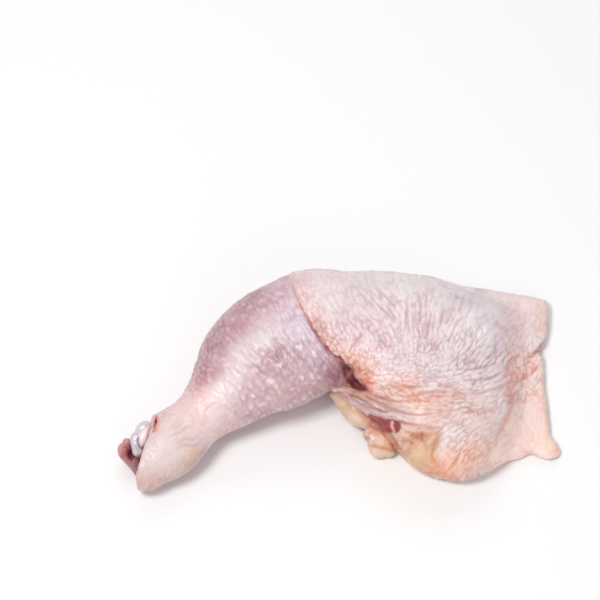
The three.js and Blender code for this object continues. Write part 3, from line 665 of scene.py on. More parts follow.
# single creases drawn one by one: line, half-width, depth
CREASES = [
    ([(-78.7, 13.9), (-75.8, 13.0), (-73.0, 14.9), (-69.6, 14.4), (-66.7, 16.8)], 0.67, 0.62), ([(-80.6, 16.3), (-76.8, 17.3), (-72.5, 20.2), (-68.6, 22.1)], 0.67, 0.55), ([(-76.8, 10.6), (-73.0, 12.0), (-69.1, 11.5), (-65.3, 13.9)], 0.67, 0.42),
    ([(-81.6, 19.7), (-77.8, 20.2), (-74.4, 22.6)], 0.58, 0.36),
    ([(-31.7, 66.7), (-29.3, 61.9), (-24.5, 58.1)], 0.53, 0.26), ([(-25.9, 67.7), (-23.5, 63.4), (-18.2, 59.5)], 0.53, 0.24), ([(-36.5, 59.0), (-32.6, 54.2), (-26.9, 50.9)], 0.58, 0.28),
    ([(-22.1, 59.0), (-19.2, 54.7), (-13.9, 51.8)], 0.53, 0.22), ([(-40.3, 50.9), (-36.5, 47.0), (-30.2, 44.6)], 0.58, 0.24), ([(-45.6, 56.6), (-42.2, 52.3), (-37.9, 49.4)], 0.53, 0.16),
    ([(-60.5, 22.1), (-63.4, 25.0), (-62.9, 28.8), (-59.5, 31.7), (-54.7, 31.2)], 0.77, 0.26), ([(-52.8, 22.1), (-48.0, 24.5), (-42.2, 25.9), (-38.4, 28.8)], 0.67, 0.22),
    ([(84.0, 47.0), (82.1, 39.4), (83.5, 32.6), (81.6, 25.9), (78.7, 20.2), (75.4, 15.4)], 1.25, 0.2),
    ([(89.8, 53.8), (92.6, 54.2), (96.0, 56.6), (99.4, 61.0)], 0.72, 0.45),
    ([(89.3, 57.1), (85.4, 54.2), (81.1, 51.8)], 0.53, 0.36), ([(93.1, 52.8), (88.3, 49.9), (83.0, 45.6)], 0.58, 0.44), ([(96.5, 49.9), (92.6, 46.1), (87.8, 42.7)], 0.58, 0.44),
    ([(97.9, 44.6), (95.0, 40.8), (91.2, 37.4)], 0.48, 0.3), ([(88.8, 40.3), (85.4, 37.0), (82.6, 34.1)], 0.53, 0.36), ([(84.5, 49.9), (81.6, 47.5), (79.2, 45.6)], 0.53, 0.34), ([(92.6, 37.9), (90.2, 34.1), (88.3, 30.2)], 0.48, 0.26),
    ([(-0.5, 37.4), (4.8, 37.0), (10.6, 34.1), (16.3, 30.2), (23.0, 27.4)], 0.72, 0.55),
    ([(3.4, 38.9), (9.6, 36.5), (16.3, 33.6), (23.0, 30.7), (28.8, 27.8)], 0.72, 0.52),
    ([(1.4, 35.5), (6.2, 34.6), (10.6, 31.7), (15.4, 28.3), (21.1, 25.4)], 0.67, 0.42),
    ([(11.5, 37.9), (17.3, 35.5), (24.0, 33.6), (30.7, 32.6)], 0.58, 0.50),
    ([(25.9, 29.8), (31.7, 27.4), (38.4, 26.4), (45.1, 26.9)], 0.58, 0.35),
    ([(24.0, 24.5), (30.7, 23.0), (38.4, 21.6), (47.0, 20.6)], 0.62, 0.55),
    ([(3.4, 54.7), (5.3, 50.9), (6.7, 47.5)], 0.62, 0.5),
    ([(6.7, 53.8), (9.1, 49.9), (11.5, 45.1)], 0.58, 0.4),
    ([(10.6, 44.2), (14.4, 42.2), (18.7, 41.8)], 0.62, 0.45),
    ([(29.3, 40.3), (35.5, 39.8), (42.7, 40.3)], 0.58, 0.35),
    ([(35.5, 36.0), (43.2, 37.4), (50.9, 37.0)], 0.58, 0.30),
    ([(38.4, 18.2), (41.3, 13.9), (42.7, 8.6)], 0.86, 0.35),
    ([(29.8, 16.3), (34.6, 14.4), (37.9, 11.0)], 0.86, 0.25),
    ([(16.3, 82.1), (20.2, 78.7), (24.0, 74.9), (27.8, 71.0)], 0.62, 0.24),
    ([(8.6, 86.4), (13.0, 82.6), (16.3, 79.2)], 0.62, 0.22),
    ([(20.2, 80.2), (24.0, 77.8), (26.9, 73.9), (28.8, 70.1)], 0.58, 0.22),
    ([(33.1, 82.6), (33.1, 75.8), (33.6, 70.1), (34.6, 65.3)], 0.58, 0.27),
    ([(36.5, 81.6), (37.0, 74.9), (37.4, 68.2)], 0.58, 0.24),
    ([(46.1, 79.2), (44.6, 73.9), (43.7, 68.2), (42.2, 62.4)], 0.58, 0.29),
    ([(50.9, 77.8), (49.4, 71.0), (47.5, 64.3)], 0.53, 0.20),
    ([(58.1, 73.9), (56.2, 68.6), (54.2, 63.4)], 0.53, 0.23),
    ([(68.2, 68.2), (65.8, 63.4), (62.9, 58.1)], 0.53, 0.20),
    ([(77.8, 62.4), (74.4, 56.6), (70.1, 51.8)], 0.58, 0.23),
    ([(76.3, 51.8), (71.5, 49.9), (65.3, 48.5), (59.0, 47.5)], 0.58, 0.27),
    ([(80.2, 48.0), (74.4, 44.6), (68.2, 43.2), (61.4, 42.7)], 0.62, 0.31),
    ([(81.6, 42.7), (76.3, 39.4), (70.1, 37.4), (63.4, 36.5)], 0.62, 0.29),
    ([(58.6, 41.8), (52.8, 40.3), (47.0, 40.3)], 0.53, 0.28),
    ([(5.3, 56.6), (9.1, 61.9), (12.5, 65.8)], 0.67, 0.30),
    ([(50.9, 19.2), (48.0, 14.4), (45.6, 10.1), (45.1, 6.2), (47.0, 2.9), (50.9, -1.0)], 0.72, 0.4),
    ([(48.0, 17.3), (45.6, 13.0), (43.2, 9.1), (43.2, 5.3)], 0.58, 0.25),
    ([(53.8, 0.5), (57.1, 6.2), (60.5, 11.5)], 0.58, 0.30),
    ([(24.5, 17.8), (26.4, 14.9), (28.3, 11.0)], 0.72, 0.6),
]
# small lumps: place, radius, height
LUMPS = [([(-89.3, 26.9)], 1.6, 0.8), ([(-85.0, 27.4)], 2.0, 0.7), ([(-90.2, 23.5)], 1.2, 0.4), ([(55.7, 5.3)], 3.2, 0.9), ([(59.5, 1.0)], 3.0, 0.6), ([(34.6, 18.2)], 5.0, 1.0), ([(41.3, 3.8)], 5.0, 0.8), ([(30.7, 11.0)], 3.5, 0.7),
         ([(4.8, 57.1)], 2.6, 0.9), ([(8.2, 52.3)], 2.6, 0.9), ([(10.6, 46.6)], 3.0, 1.1), ([(1.0, 60.5)], 2.4, 0.7), ([(8.6, 61.0)], 2.8, 0.6), ([(16.3, 40.3)], 3.4, 0.9), ([(-3.8, 63.4)], 2.6, 0.5), ([(-10.6, 73.9)], 2.6, 0.4), ([(97.4, 54.7)], 2.0, 0.8), ([(86.9, 47.0)], 2.4, 0.7), ([(92.6, 49.0)], 2.2, 0.6),
         ([(90.7, 39.4)], 2.2, 0.6), ([(83.5, 37.4)], 2.0, 0.5), ([(31.7, 26.4)], 3.0, 0.6), ([(39.4, 24.0)], 3.4, 0.5), ([(47.5, -3.4)], 2.0, -1.5)]
WRINKLE_1 = wrinkle_map(WRINKLES, 11)
WRINKLE_2 = wrinkle_map(WRINKLES, 23, shrink=0.62)
COBBLE_1, TONE_1 = cobble_map(WRINKLES, 41, shrink=0.86)
COBBLE_2, TONE_2 = cobble_map(WRINKLES, 43, shrink=0.55)


def pillows(n, sharp=0.75):
    """Rounded pillows with narrow valleys out of banded noise: 0 in a valley, 1 on top."""
    return np.clip(np.abs(n) * 0.72, 0, 1.3) ** sharp


def follicles(t, ang, P):
    """Raised follicles in offset rows along the drumstick, wider apart where it is thick: height 0 to 1."""
    st = np.array(DRUM)
    fine = np.linspace(0, len(st) - 1, 200)
    C = cr(st, fine)[0]
    seg = np.hypot(*(np.diff(C[:, :2], axis=0)).T)
    radius = (C[:, 3] + C[:, 4]) / 2
    turn = 2 * np.pi / 40
    k = np.concatenate([[0], np.cumsum(seg / (turn * (radius[1:] + radius[:-1]) / 2))])
    x = np.interp(t, fine, k) * 0.98
    y = ang / turn
    x = x + 0.16 * y  # the rows climb slowly round the leg
    x, y = x + 0.24 * noise(P, 4.0, 311) + 0.10 * noise(P, 1.8, 313), y + 0.24 * noise(P, 4.0, 312) + 0.10 * noise(P, 1.8, 314)
    out = np.zeros(len(t))
    lean = np.zeros(len(t))
    xi = np.floor(x)
    for dx in (-1, 0, 1, 2):
        cx = xi + dx
        off = 0.5 * (cx % 2)
        yi = np.round(y - off)
        for dy in (-1, 0, 1):
            cy = yi + dy
            jx = (lattice(cx, cy, cx * 0, 5) - 0.5) * 0.34
            jy = (lattice(cx, cy, cx * 0, 6) - 0.5) * 0.32
            hh = 0.34 + 0.95 * lattice(cx, cy, cx * 0, 7) ** 1.3
            ex, ey = x - cx - jx, y - cy - off - jy
            ex = ex - 0.16 * ey
            r2 = ((ex / 0.35) ** 2 + (ey / 0.36) ** 2) / (0.85 + 0.35 * lattice(cx, cy, cx * 0, 8)) ** 2
            out = out + hh * np.exp(-r2)
    return out


def relief(P, N, a, b):
    """Height of the skin's relief in mm, and how far up a ridge each point is, 0 to 1."""
    _, t, ang = limb(P, DRUM, True)
    s = past_fold(P[:, 0], P[:, 1] * SE + P[:, 2] * CE)
    drum = step(0.2, -0.8, s) * (1 - STRAP_SKIN(a, b))
    face = step(0.05, 0.35, -(N @ LOOK))
    _, _, height, _ = spread(WRINKLES, a, b, 6.0)
    w1, w2 = pick(WRINKLE_1, a, b), pick(WRINKLE_2, a, b)
    c1, c2, tone = pick(COBBLE_1, a, b), pick(COBBLE_2, a, b), pick(TONE_1, a, b)
    patchy = 0.75 + 0.35 * noise(P, 6.0, 91)
    cob = 1 - np.exp(-3.2 * c1)
    small = 1 - np.exp(-3.6 * c2)
    p = 0.46 * cob * (0.7 + 0.5 * tone) + 0.30 * pillows(w1) + 0.18 * small + 0.14 * pillows(w2)
    p = 1 - (1 - p) * patchy
    G = P * np.array([1.0, 1.0, 0.62])
    back = 0.5 * pillows(noise(G, 3.2, 61) * 2.0) + 0.3 * pillows(noise(G, 1.9, 67) * 2.0) + 0.3 * pillows(fbm(P, 6.0, 69, 2) * 2.0)
    ridge = mix(0.12 + 0.78 * back, p, face)
    gain = mix(mix(np.clip(height, 0.26, 0.32), 0.12, drum), height, face) * 3.1
    for shape, k in LIVELY:
        gain = gain * (1 + (k - 1) * shape(a, b))
    h = (ridge - 0.6) * gain
    for line, half, depth in CREASES:
        d, u = to_line(a, b, catmull(line, 4))
        g = np.exp(-((d / half) ** 2)) * np.sin(np.pi * np.clip(u, 0.04, 0.96)) ** 0.5 * face
        h = h - depth * g
        ridge = ridge * (1 - 0.7 * g * min(1, depth / 0.4))
    # crumpled skin beside the notch of the flap
    cr_ = CRUMPLED(a, b) * face
    along, across = P[:, 0] * 0.66 + P[:, 1] * 0.75, P[:, 0] * 0.75 - P[:, 1] * 0.66
    G = np.stack([along * 0.55, across, P[:, 2]], 1)
    soft = 0.5 * pillows(noise(G, 2.9, 301) * 2.0) + 0.5 * pillows(noise(G, 1.7, 302) * 2.0)
    h = mix(h, 1.15 * (soft - 0.45) + 0.6 * noise(P, 6.5, 303), cr_ * 0.85)
    ridge = mix(ridge, np.clip(0.30 + 0.75 * soft, 0, 1), cr_ * 0.85)
    gain = mix(gain, 0.9, cr_)
    d, u = to_line(a, b, GAP_LINE)
    calm = np.exp(-((d / 3.4) ** 4)) * face
    h, ridge, gain = h * (1 - 0.85 * calm), mix(ridge, 0.7, calm * 0.8), gain * (1 - 0.8 * calm)
    # drumstick
    f = follicles(t, ang, P)
    amp = step(2.5, 4.1, t) * step(1.0, 10.0, -s) * drum * (1 + 0.3 * step(0.55, 1.1, ang))
    amp = amp * (1 - 0.72 * LIGHT_BAND(a, b)) * (0.8 + 0.4 * noise(P, 11.0, 93)) * (1 + 0.3 * DOTTED(a, b))
    low = 1 - 0.85 * np.maximum(step(0.7, 1.2, ang) * step(3.9, 4.7, t), step(-0.8, -1.25, ang))
    h = h + 1.0 * (f - 0.4) * amp * low
    bumps = LIP_BUMPS(a, b) * face * (1 - drum) * np.interp(b, [55.20, 79.20], [1.0, 0.5])
    puff = np.clip(0.5 * cob + 0.5 * (0.5 + 0.8 * noise(P, 3.2, 305)), 0, 1)
    h = h + 1.1 * (puff - 0.55) * bumps
    ridge = mix(ridge, puff, bumps * 0.75)
    for c, w, up in LUMPS:
        h = h + up * np.exp(-(((a - c[0][0]) / w) ** 2 + ((b - c[0][1]) / w) ** 2)) * face
    # slow unevenness of the flesh
    h = h + (0.55 - 0.3 * drum) * noise(P, 17.0, 3) * step(2, 8, P[:, 2]) + (0.22 - 0.08 * drum) * noise(P, 7.0, 4) * step(1, 4, P[:, 2])
    # the flap's edge is bumpy and of uneven thickness
    edge = step(68.0, 84.0, P[:, 0]) * step(7.0, 4.5, P[:, 2]) * (0.35 + 0.65 * step(0.75, 0.35, np.abs(N[:, 2])))
    h = h + edge * (0.40 * noise(P, 9.0, 321) + 0.34 * noise(P, 3.4, 322) + 0.14 * noise(P, 1.8, 323))
    cut = step(0.8, 0.97, N @ CUT_DIR) * step(-84.0, -88.0, P[:, 0])
    h = h + cut * (0.55 * noise(P, 3.6, 95) + 0.3 * noise(P, 1.7, 96) - 0.3)
    h = h * step(0.0, 1.2, P[:, 2])
    return h, np.clip(ridge, 0, 1.2), dict(t=t, ang=ang, s=s, drum=drum, face=face, amp=amp, gain=np.clip(gain / 0.95, 0, 1), tone=tone, bump=f)


# ------------------------------------------------------------------ colour
def lin(r, g, b):
    c = np.array([r, g, b]) / 255.0
    return np.where(c <= 0.04045, c / 12.92, ((c + 0.055) / 1.055) ** 2.4)


def spot(centre, ra, rb, turn=0.0):
    c, s = math.cos(math.radians(turn)), math.sin(math.radians(turn))

    def f(a, b):
        x, y = a - centre[0][0], b - centre[0][1]
        x, y = x * c + y * s, -x * s + y * c
        return np.exp(-0.7 * ((x / ra) ** 2 + (y / rb) ** 2) ** 1.3)

    return f


def band(line, half, fade=True):
    P = catmull(line, 4)

    def f(a, b):
        d, u = to_line(a, b, P)
        w = np.exp(-0.7 * (d / half) ** 2.6)
        return w * np.clip(np.sin(np.pi * np.clip(u, 0, 1)) * 3, 0, 1) if fade else w

    return f


def area(points, feather):
    P = closed_spline(points, 3)

    def f(a, b):
        return step(feather, -feather, to_outline(a, b, P))

    return f


LIGHT_BAND = band([(-67.2, 24.0), (-60.5, 35.5), (-52.8, 49.0), (-43.2, 61.4), (-32.6, 72.0), (-24.0, 78.7)], 6.72)
DOTTED = spot([(-24.0, 49.0)], 21.12, 9.60, 35)
LIP_BUMPS = band([(-18.2, 87.4), (-13.9, 78.7), (-8.6, 69.6), (-2.9, 61.0), (3.4, 53.8), (8.6, 48.0), (14.4, 41.3)], 4.32)
LIVELY = [
    (spot([(43.2, 57.6)], 21.12, 12.48, 0), 1.45), (spot([(68.2, 56.6)], 13.44, 10.56, 40), 1.45), (spot([(56.2, 41.3)], 19.20, 6.72, 10), 1.25), (spot([(62.4, 29.8)], 17.28, 11.52, 15), 1.2),
    (spot([(59.5, 9.6)], 14.40, 9.60, 35), 1.25), (band([(-13.4, 73.9), (-9.6, 68.2), (-3.8, 59.5), (1.9, 51.8)], 4.32, False), 1.2), (spot([(34.6, 11.5)], 10.56, 8.16, 30), 0.75), (spot([(11.5, 61.4)], 10.56, 10.56, 0), 1.3), (spot([(29.8, 34.6)], 19.20, 6.72, -8), 1.3),
]
CRUMPLED = spot([(88.3, 46.1)], 6.24, 12.00, 12)
SKIN = lin(233, 213, 215)
DRUM_SKIN = lin(203, 168, 173)
ON_DRUM = [
    # darker purple along the upper edge of the drumstick: purple skin with painted shade where it turns away from the
    # light
    (band([(-67.2, 43.2), (-64.8, 53.8), (-58.6, 65.8), (-49.0, 77.8), (-37.4, 86.9), (-26.9, 93.6)], 5.28, False), lin(180, 140, 146), 0.75),
    # the pale band along the drumstick: paler skin with a painted sheen
    (band([(-64.3, 19.2), (-58.1, 34.6), (-50.4, 49.0), (-40.8, 61.9), (-30.2, 73.4), (-22.1, 80.6)], 7.20, False), lin(227, 213, 215), 0.78),
    (band([(-27.8, 88.3), (-22.6, 78.7), (-15.8, 67.2), (-8.6, 57.6)], 5.28, False), lin(219, 198, 215), 0.72),
    (band([(-30.2, 81.6), (-25.4, 71.0), (-18.2, 60.0)], 5.76, False), lin(222, 200, 212), 0.45),
    # dark purple where the drumstick turns in to the gap: purple skin with painted shade
    (spot([(-1.9, 46.1)], 7.68, 5.28, -50), lin(162, 114, 136), 0.9),
    (spot([(-9.6, 39.4)], 10.56, 4.80, 20), lin(196, 160, 166), 0.5),
    (spot([(-33.6, 33.6)], 12.48, 5.76, 25), lin(206, 172, 176), 0.4),
    (band([(-49.0, 17.3), (-36.5, 23.0), (-23.0, 28.3), (-9.6, 33.6), (-1.0, 37.0)], 2.88, False), lin(196, 164, 160), 0.5),
    (spot([(-70.1, 26.9)], 15.36, 11.52, 45), lin(240, 208, 205), 0.92),
    (spot([(-53.8, 18.2)], 6.72, 3.84, 30), lin(236, 192, 182), 0.55),
    (spot([(-63.8, 32.6)], 5.76, 4.80, 0), lin(240, 200, 198), 0.4),
    (spot([(-82.6, 10.6)], 15.36, 12.48, 40), lin(224, 203, 199), 0.92),
    (spot([(-71.0, 7.2)], 3.12, 1.92, 35), lin(248, 208, 172), 0.75),
    (band([(-97.0, -4.8), (-91.2, -8.2), (-82.6, -6.7), (-73.0, -1.0), (-67.2, 4.8)], 4.32, False), lin(203, 168, 155), 0.72),
    (spot([(-90.2, -1.9)], 5.76, 3.84, 20), lin(222, 188, 176), 0.5),
    (band([(-87.4, 26.4), (-87.8, 23.0), (-89.3, 18.2)], 1.63, True), lin(220, 142, 124), 0.85),
    (band([(-88.6, 21.1), (-89.3, 19.2), (-90.0, 17.8)], 0.48, True), lin(186, 108, 92), 0.7),
]
ON_THIGH = [
    (spot([(27.4, 89.3)], 43.20, 9.60, 0), lin(231, 216, 218), 0.8),
    (spot([(6.7, 80.6)], 16.32, 14.40, -40), lin(235, 217, 217), 0.8),
    (spot([(-17.3, 89.3)], 6.72, 7.68, 0), lin(230, 198, 196), 0.7),
    (band([(-19.2, 87.4), (-16.8, 81.6), (-13.0, 74.4), (-7.7, 65.8), (-1.9, 57.6), (3.4, 49.9), (8.6, 43.2), (14.4, 39.4)], 4.32, True), lin(240, 196, 186), 0.5),
    # thin dark red line along the crevice under the lip: red skin with painted shade
    (band([(-22.6, 91.2), (-20.6, 85.0), (-17.3, 78.2), (-12.5, 70.1), (-7.2, 61.4), (-1.4, 53.8), (4.3, 47.0), (10.6, 40.3)], 0.96, True), lin(206, 138, 122), 0.45),
    (spot([(6.7, 51.8)], 10.56, 6.72, 60), lin(244, 204, 192), 0.6),
    (spot([(5.8, 45.1)], 4.80, 2.88, -50), lin(236, 166, 146), 0.7),
    (spot([(44.2, 58.6)], 21.12, 12.48, 0), lin(225, 205, 208), 0.7),
    (spot([(67.2, 57.6)], 13.44, 9.60, 50), lin(216, 194, 199), 0.7),
    # purple-grey down the right side of the mound: painted shade
    (band([(59.5, 83.5), (70.1, 78.7), (76.8, 69.1), (81.1, 57.6), (80.6, 47.0)], 6.24, False), lin(212, 190, 201), 0.75),
    # pale patch on the thigh's shoulder: a painted sheen
    (spot([(59.5, 71.0)], 12.48, 6.24, 15), lin(238, 224, 226), 0.55),
    (spot([(63.4, 29.8)], 21.12, 10.56, 15), lin(232, 204, 201), 0.7),
    (spot([(15.4, 47.0)], 7.68, 5.76, 20), lin(244, 196, 182), 0.65),
    (spot([(13.4, 40.3)], 6.72, 3.36, -20), lin(236, 162, 144), 0.6),
    (band([(7.7, 52.8), (11.0, 46.6), (15.4, 40.3)], 2.88, False), lin(236, 160, 138), 0.55),
    # thin dark line at the gap's right tip: painted shade in the crease
    (band([(11.5, 40.3), (14.4, 38.6), (18.2, 37.7)], 0.58, True), lin(168, 90, 82), 0.8),
    (spot([(33.6, 42.7)], 5.76, 3.84, 10), lin(234, 168, 150), 0.65),
    (spot([(32.6, 37.4)], 5.76, 2.40, -20), lin(226, 150, 134), 0.5),
    (spot([(49.0, 35.0)], 7.68, 1.92, 6), lin(216, 152, 146), 0.5),
    (spot([(38.4, 32.6)], 11.52, 4.32, -8), lin(232, 186, 172), 0.7),
    (spot([(30.7, 26.9)], 7.68, 2.88, -12), lin(240, 192, 158), 0.6),
    (spot([(41.8, 23.0)], 10.56, 2.40, -4), lin(228, 184, 172), 0.5),
    (area([(18.2, 18.2), (23.0, 21.1), (28.3, 22.1), (33.6, 20.6), (41.3, 19.2), (49.4, 19.2), (48.0, 15.4), (45.6, 11.0), (45.1, 6.7), (48.0, 2.4), (52.8, -2.9), (51.8, -9.6), (44.2, -8.6), (34.6, -4.8), (26.9, 1.0), (21.1, 8.6)], 3.84), lin(224, 182, 148), 0.97),
    (spot([(35.5, 17.3)], 7.68, 3.36, -10), lin(228, 190, 168), 0.6),
    (spot([(35.5, 14.4)], 7.68, 3.36, 10), lin(222, 166, 144), 0.5),
    (spot([(31.7, 3.8)], 5.76, 3.84, -45), lin(216, 184, 148), 0.55),
    (spot([(46.1, 0.0)], 5.76, 3.36, -30), lin(212, 152, 112), 0.6),
    (spot([(46.1, 4.3)], 1.92, 2.40, -25), lin(214, 124, 78), 0.75),
    (band([(49.0, 17.3), (45.6, 11.5), (44.6, 6.7), (47.0, 2.4), (50.9, -1.9)], 1.44, False), lin(216, 150, 106), 0.6),
    (spot([(38.9, 6.7)], 4.80, 4.80, -25), lin(226, 190, 150), 0.7),
    (spot([(54.7, -1.9)], 6.72, 3.36, 10), lin(238, 172, 142), 0.6),
    # orange-brown lines in the crease beside the lower fat lobe, and beside them a painted shade
    (band([(23.0, 18.7), (25.4, 14.4), (27.8, 10.6), (29.8, 7.7)], 1.44, False), lin(196, 124, 96), 0.75),
    (band([(26.9, 19.2), (28.8, 14.4), (31.2, 9.6), (34.1, 5.8)], 2.16, True), lin(198, 138, 110), 0.7),
    (spot([(58.6, 4.8)], 13.44, 6.72, 30), lin(242, 192, 170), 0.85),
    (spot([(52.3, 3.8)], 6.24, 5.28, 0), lin(242, 180, 146), 0.7),
    (spot([(73.9, 8.6)], 5.76, 5.76, 40), lin(222, 182, 172), 0.6),
    (band([(67.2, -3.8), (73.9, 1.9), (80.6, 4.8)], 2.40, False), lin(206, 160, 148), 0.55),
    (band([(49.0, -4.8), (58.6, -6.7), (67.2, -4.8)], 2.40, False), lin(206, 152, 130), 0.6),
    (band([(-0.5, 38.4), (6.7, 37.0), (14.4, 33.6), (22.6, 29.8), (30.7, 25.9)], 3.84, False), lin(212, 184, 184), 0.88),
    (band([(0.0, 38.9), (4.8, 38.9), (10.6, 37.0)], 1.44, False), lin(232, 196, 176), 0.7),
    (band([(6.7, 37.9), (13.4, 35.5), (20.2, 32.6), (25.9, 30.2)], 0.96, False), lin(238, 214, 208), 0.6),
    (spot([(18.2, 29.3)], 6.72, 2.40, -28), lin(200, 168, 178), 0.7),
    (band([(6.2, 36.7), (9.1, 35.0), (12.5, 33.1), (16.8, 31.2)], 0.53, True), lin(160, 96, 98), 0.7),
    (band([(6.7, 38.9), (10.6, 37.7), (13.9, 36.2), (17.3, 34.1)], 0.43, True), lin(168, 96, 84), 0.7),
    (band([(8.6, 32.6), (12.5, 30.7), (17.3, 28.3), (23.0, 26.9)], 0.48, True), lin(176, 116, 120), 0.6),
    (band([(1.0, 39.4), (4.8, 39.6), (8.6, 38.4), (13.4, 36.5)], 0.58, True), lin(240, 208, 190), 0.7),
    (band([(6.7, 35.5), (10.6, 33.6), (15.4, 31.2), (21.1, 29.3)], 0.48, True), lin(236, 206, 204), 0.6),
    (band([(-1.0, 37.9), (2.4, 37.0), (6.2, 34.6)], 0.48, True), lin(176, 118, 104), 0.6),
    (spot([(1.4, 39.4)], 2.40, 1.20, 0), lin(206, 160, 132), 0.6),
    # dark brown line along the strap's lower edge: a painted shadow of the strap
    (band([(-0.5, 36.5), (5.3, 34.1), (9.1, 30.5), (12.5, 27.6), (14.9, 25.9)], 0.62, False), lin(166, 100, 84), 0.75),
    (band([(28.8, 22.6), (35.5, 21.1), (42.2, 20.2), (50.4, 19.7)], 0.58, False), lin(196, 128, 110), 0.5),
    # pinkish red down the crease between mound and flap: redder skin with painted shade
    (band([(83.5, 47.0), (82.1, 38.9), (83.5, 30.7), (81.1, 22.1), (76.8, 15.4), (73.0, 8.6), (72.0, 3.4)], 2.40, False), lin(226, 166, 152), 0.75),
    # purple-grey at the top of the crease beside the flap: painted shade
    (spot([(81.6, 61.4)], 4.80, 10.56, 0), lin(208, 176, 188), 0.7),
    (spot([(90.7, 73.0)], 11.52, 9.60, 0), lin(232, 202, 199), 0.85),
    (spot([(97.9, 73.0)], 2.88, 9.60, 0), lin(232, 196, 182), 0.6),
    (band([(72.0, 83.0), (82.6, 82.1), (92.2, 81.6), (99.4, 80.2)], 1.92, False), lin(224, 203, 198), 0.6),
    (spot([(86.9, 49.9)], 6.24, 11.52, 14), lin(246, 196, 184), 0.8),
    (spot([(83.0, 43.2)], 2.88, 4.32, 25), lin(222, 160, 156), 0.5),
    (spot([(90.2, 41.3)], 2.88, 5.76, 20), lin(228, 152, 138), 0.4),
    (spot([(95.0, 51.8)], 3.84, 4.80, 0), lin(236, 172, 146), 0.6),
    (spot([(85.4, 34.6)], 2.88, 6.72, 0), lin(236, 188, 182), 0.5),
    (area([(85.9, 34.6), (91.2, 38.4), (97.4, 41.3), (99.8, 32.6), (100.3, 21.6), (101.3, 14.9), (107.5, 9.6), (104.6, 3.8), (96.0, 4.8), (87.4, 1.9), (74.9, 0.0), (73.0, 5.8), (76.3, 13.9), (81.6, 24.0)], 2.40), lin(255, 218, 208), 0.96),
    (spot([(103.7, 10.1)], 3.84, 2.88, -20), lin(240, 198, 168), 0.8),
    (band([(74.9, 2.9), (83.5, 3.8), (90.2, 7.2), (96.0, 5.8), (101.8, 4.8)], 1.92, False), lin(240, 202, 184), 0.6),
    (band([(98.4, 47.0), (99.4, 33.6), (100.3, 21.6), (101.3, 14.4)], 1.92, False), lin(240, 200, 176), 0.6),
    # dark line under the curled lip of the flap: a painted shadow
    (band([(92.2, 54.2), (96.0, 56.6), (99.4, 61.0)], 0.77, False), lin(170, 116, 106), 0.7),
]
# what lies under the skin tints it: blood, taut pale skin, or fat; some of these tints also carry painted shade and
# painted light, marked below
BLOOD_AND_PAINTED_SHADE, TAUT_SKIN_AND_PAINTED_LIGHT, FATTY = np.array([0.92, 0.83, 0.85]), np.array([1.08, 1.13, 1.11]), np.array([0.95, 0.85, 0.79])
TONES = [
    (band([(-63.4, 44.2), (-53.8, 61.4), (-41.3, 74.9), (-25.0, 85.4)], 7.20, False), BLOOD_AND_PAINTED_SHADE, 1.75),  # upper flank of the drumstick: darker, purple skin with painted shade where it turns away from the light
    (band([(-55.7, 37.4), (-39.4, 39.4), (-23.0, 45.1), (-9.6, 46.1)], 7.20, False), TAUT_SKIN_AND_PAINTED_LIGHT, 1.0),  # its lower flank
    (spot([(0.0, 48.0)], 2.88, 6.72, 35), BLOOD_AND_PAINTED_SHADE, 1.2),  # where it turns in to the gap: painted shade
    (spot([(20.2, 63.4)], 26.88, 17.28, 0), BLOOD_AND_PAINTED_SHADE, 1.05),  # middle of the thigh
    (band([(6.7, 49.9), (13.4, 38.4), (25.9, 34.6), (44.2, 31.7)], 7.20, False), FATTY, 2.0),  # down to the strap
    (band([(59.5, 63.4), (72.0, 78.7)], 6.72, False), TAUT_SKIN_AND_PAINTED_LIGHT, 1.0),  # pale shoulder: a painted sheen
    (band([(29.8, 14.4), (41.3, 15.4), (51.8, 5.8)], 6.24, False), FATTY, 0.75),  # fat along the lower edge
    (band([(54.7, 33.6), (69.1, 22.1), (59.5, 1.0)], 7.20, False), FATTY, 1.1),  # thin fat beside the flap
    (band([(81.1, 67.2), (86.4, 52.8), (87.4, 40.3)], 4.80, False), TAUT_SKIN_AND_PAINTED_LIGHT, 0.7),  # hollow of the flap: painted light that lifts the shade in the hollow
    (spot([(-71.0, 32.6)], 6.72, 4.80, 25), BLOOD_AND_PAINTED_SHADE, 0.5),  # above the ankle
]
# colours for the deep places: painted shade in the gap, and red with painted shade in the crevice
GAP_PAINTED_SHADE, CREVICE_RED_AND_SHADE = lin(108, 44, 50), lin(160, 78, 76)
GAP_AREA = area([(0.5, 55.2), (3.8, 51.8), (6.7, 48.7), (9.1, 45.4), (11.3, 41.8), (15.4, 38.6), (12.5, 37.7), (7.7, 39.1), (3.8, 40.6), (1.0, 41.3), (2.4, 44.6), (1.9, 49.0)], 0.72)
GAP_PIT = area([(3.8, 43.2), (6.7, 46.1), (9.1, 43.7), (11.0, 40.8), (13.9, 38.6), (10.1, 38.9), (6.7, 40.3)], 0.96)
MEMBRANE = [(1.4, 42.2), (3.8, 44.2), (6.7, 47.5)]
STRAP_SKIN = area([(-1.9, 39.4), (3.4, 40.6), (7.7, 39.4), (12.5, 37.9), (18.2, 35.5), (25.0, 31.7), (25.9, 22.1), (16.3, 24.0), (9.6, 29.8), (4.8, 34.1), (-1.9, 36.5)], 0.77)
MEAT_GAP = area([(14.9, 26.9), (17.8, 26.2), (22.1, 25.0), (28.8, 23.0), (30.2, 20.6), (28.8, 18.2), (25.9, 17.5), (22.1, 17.8), (18.2, 18.7), (13.4, 22.1)], 0.77)


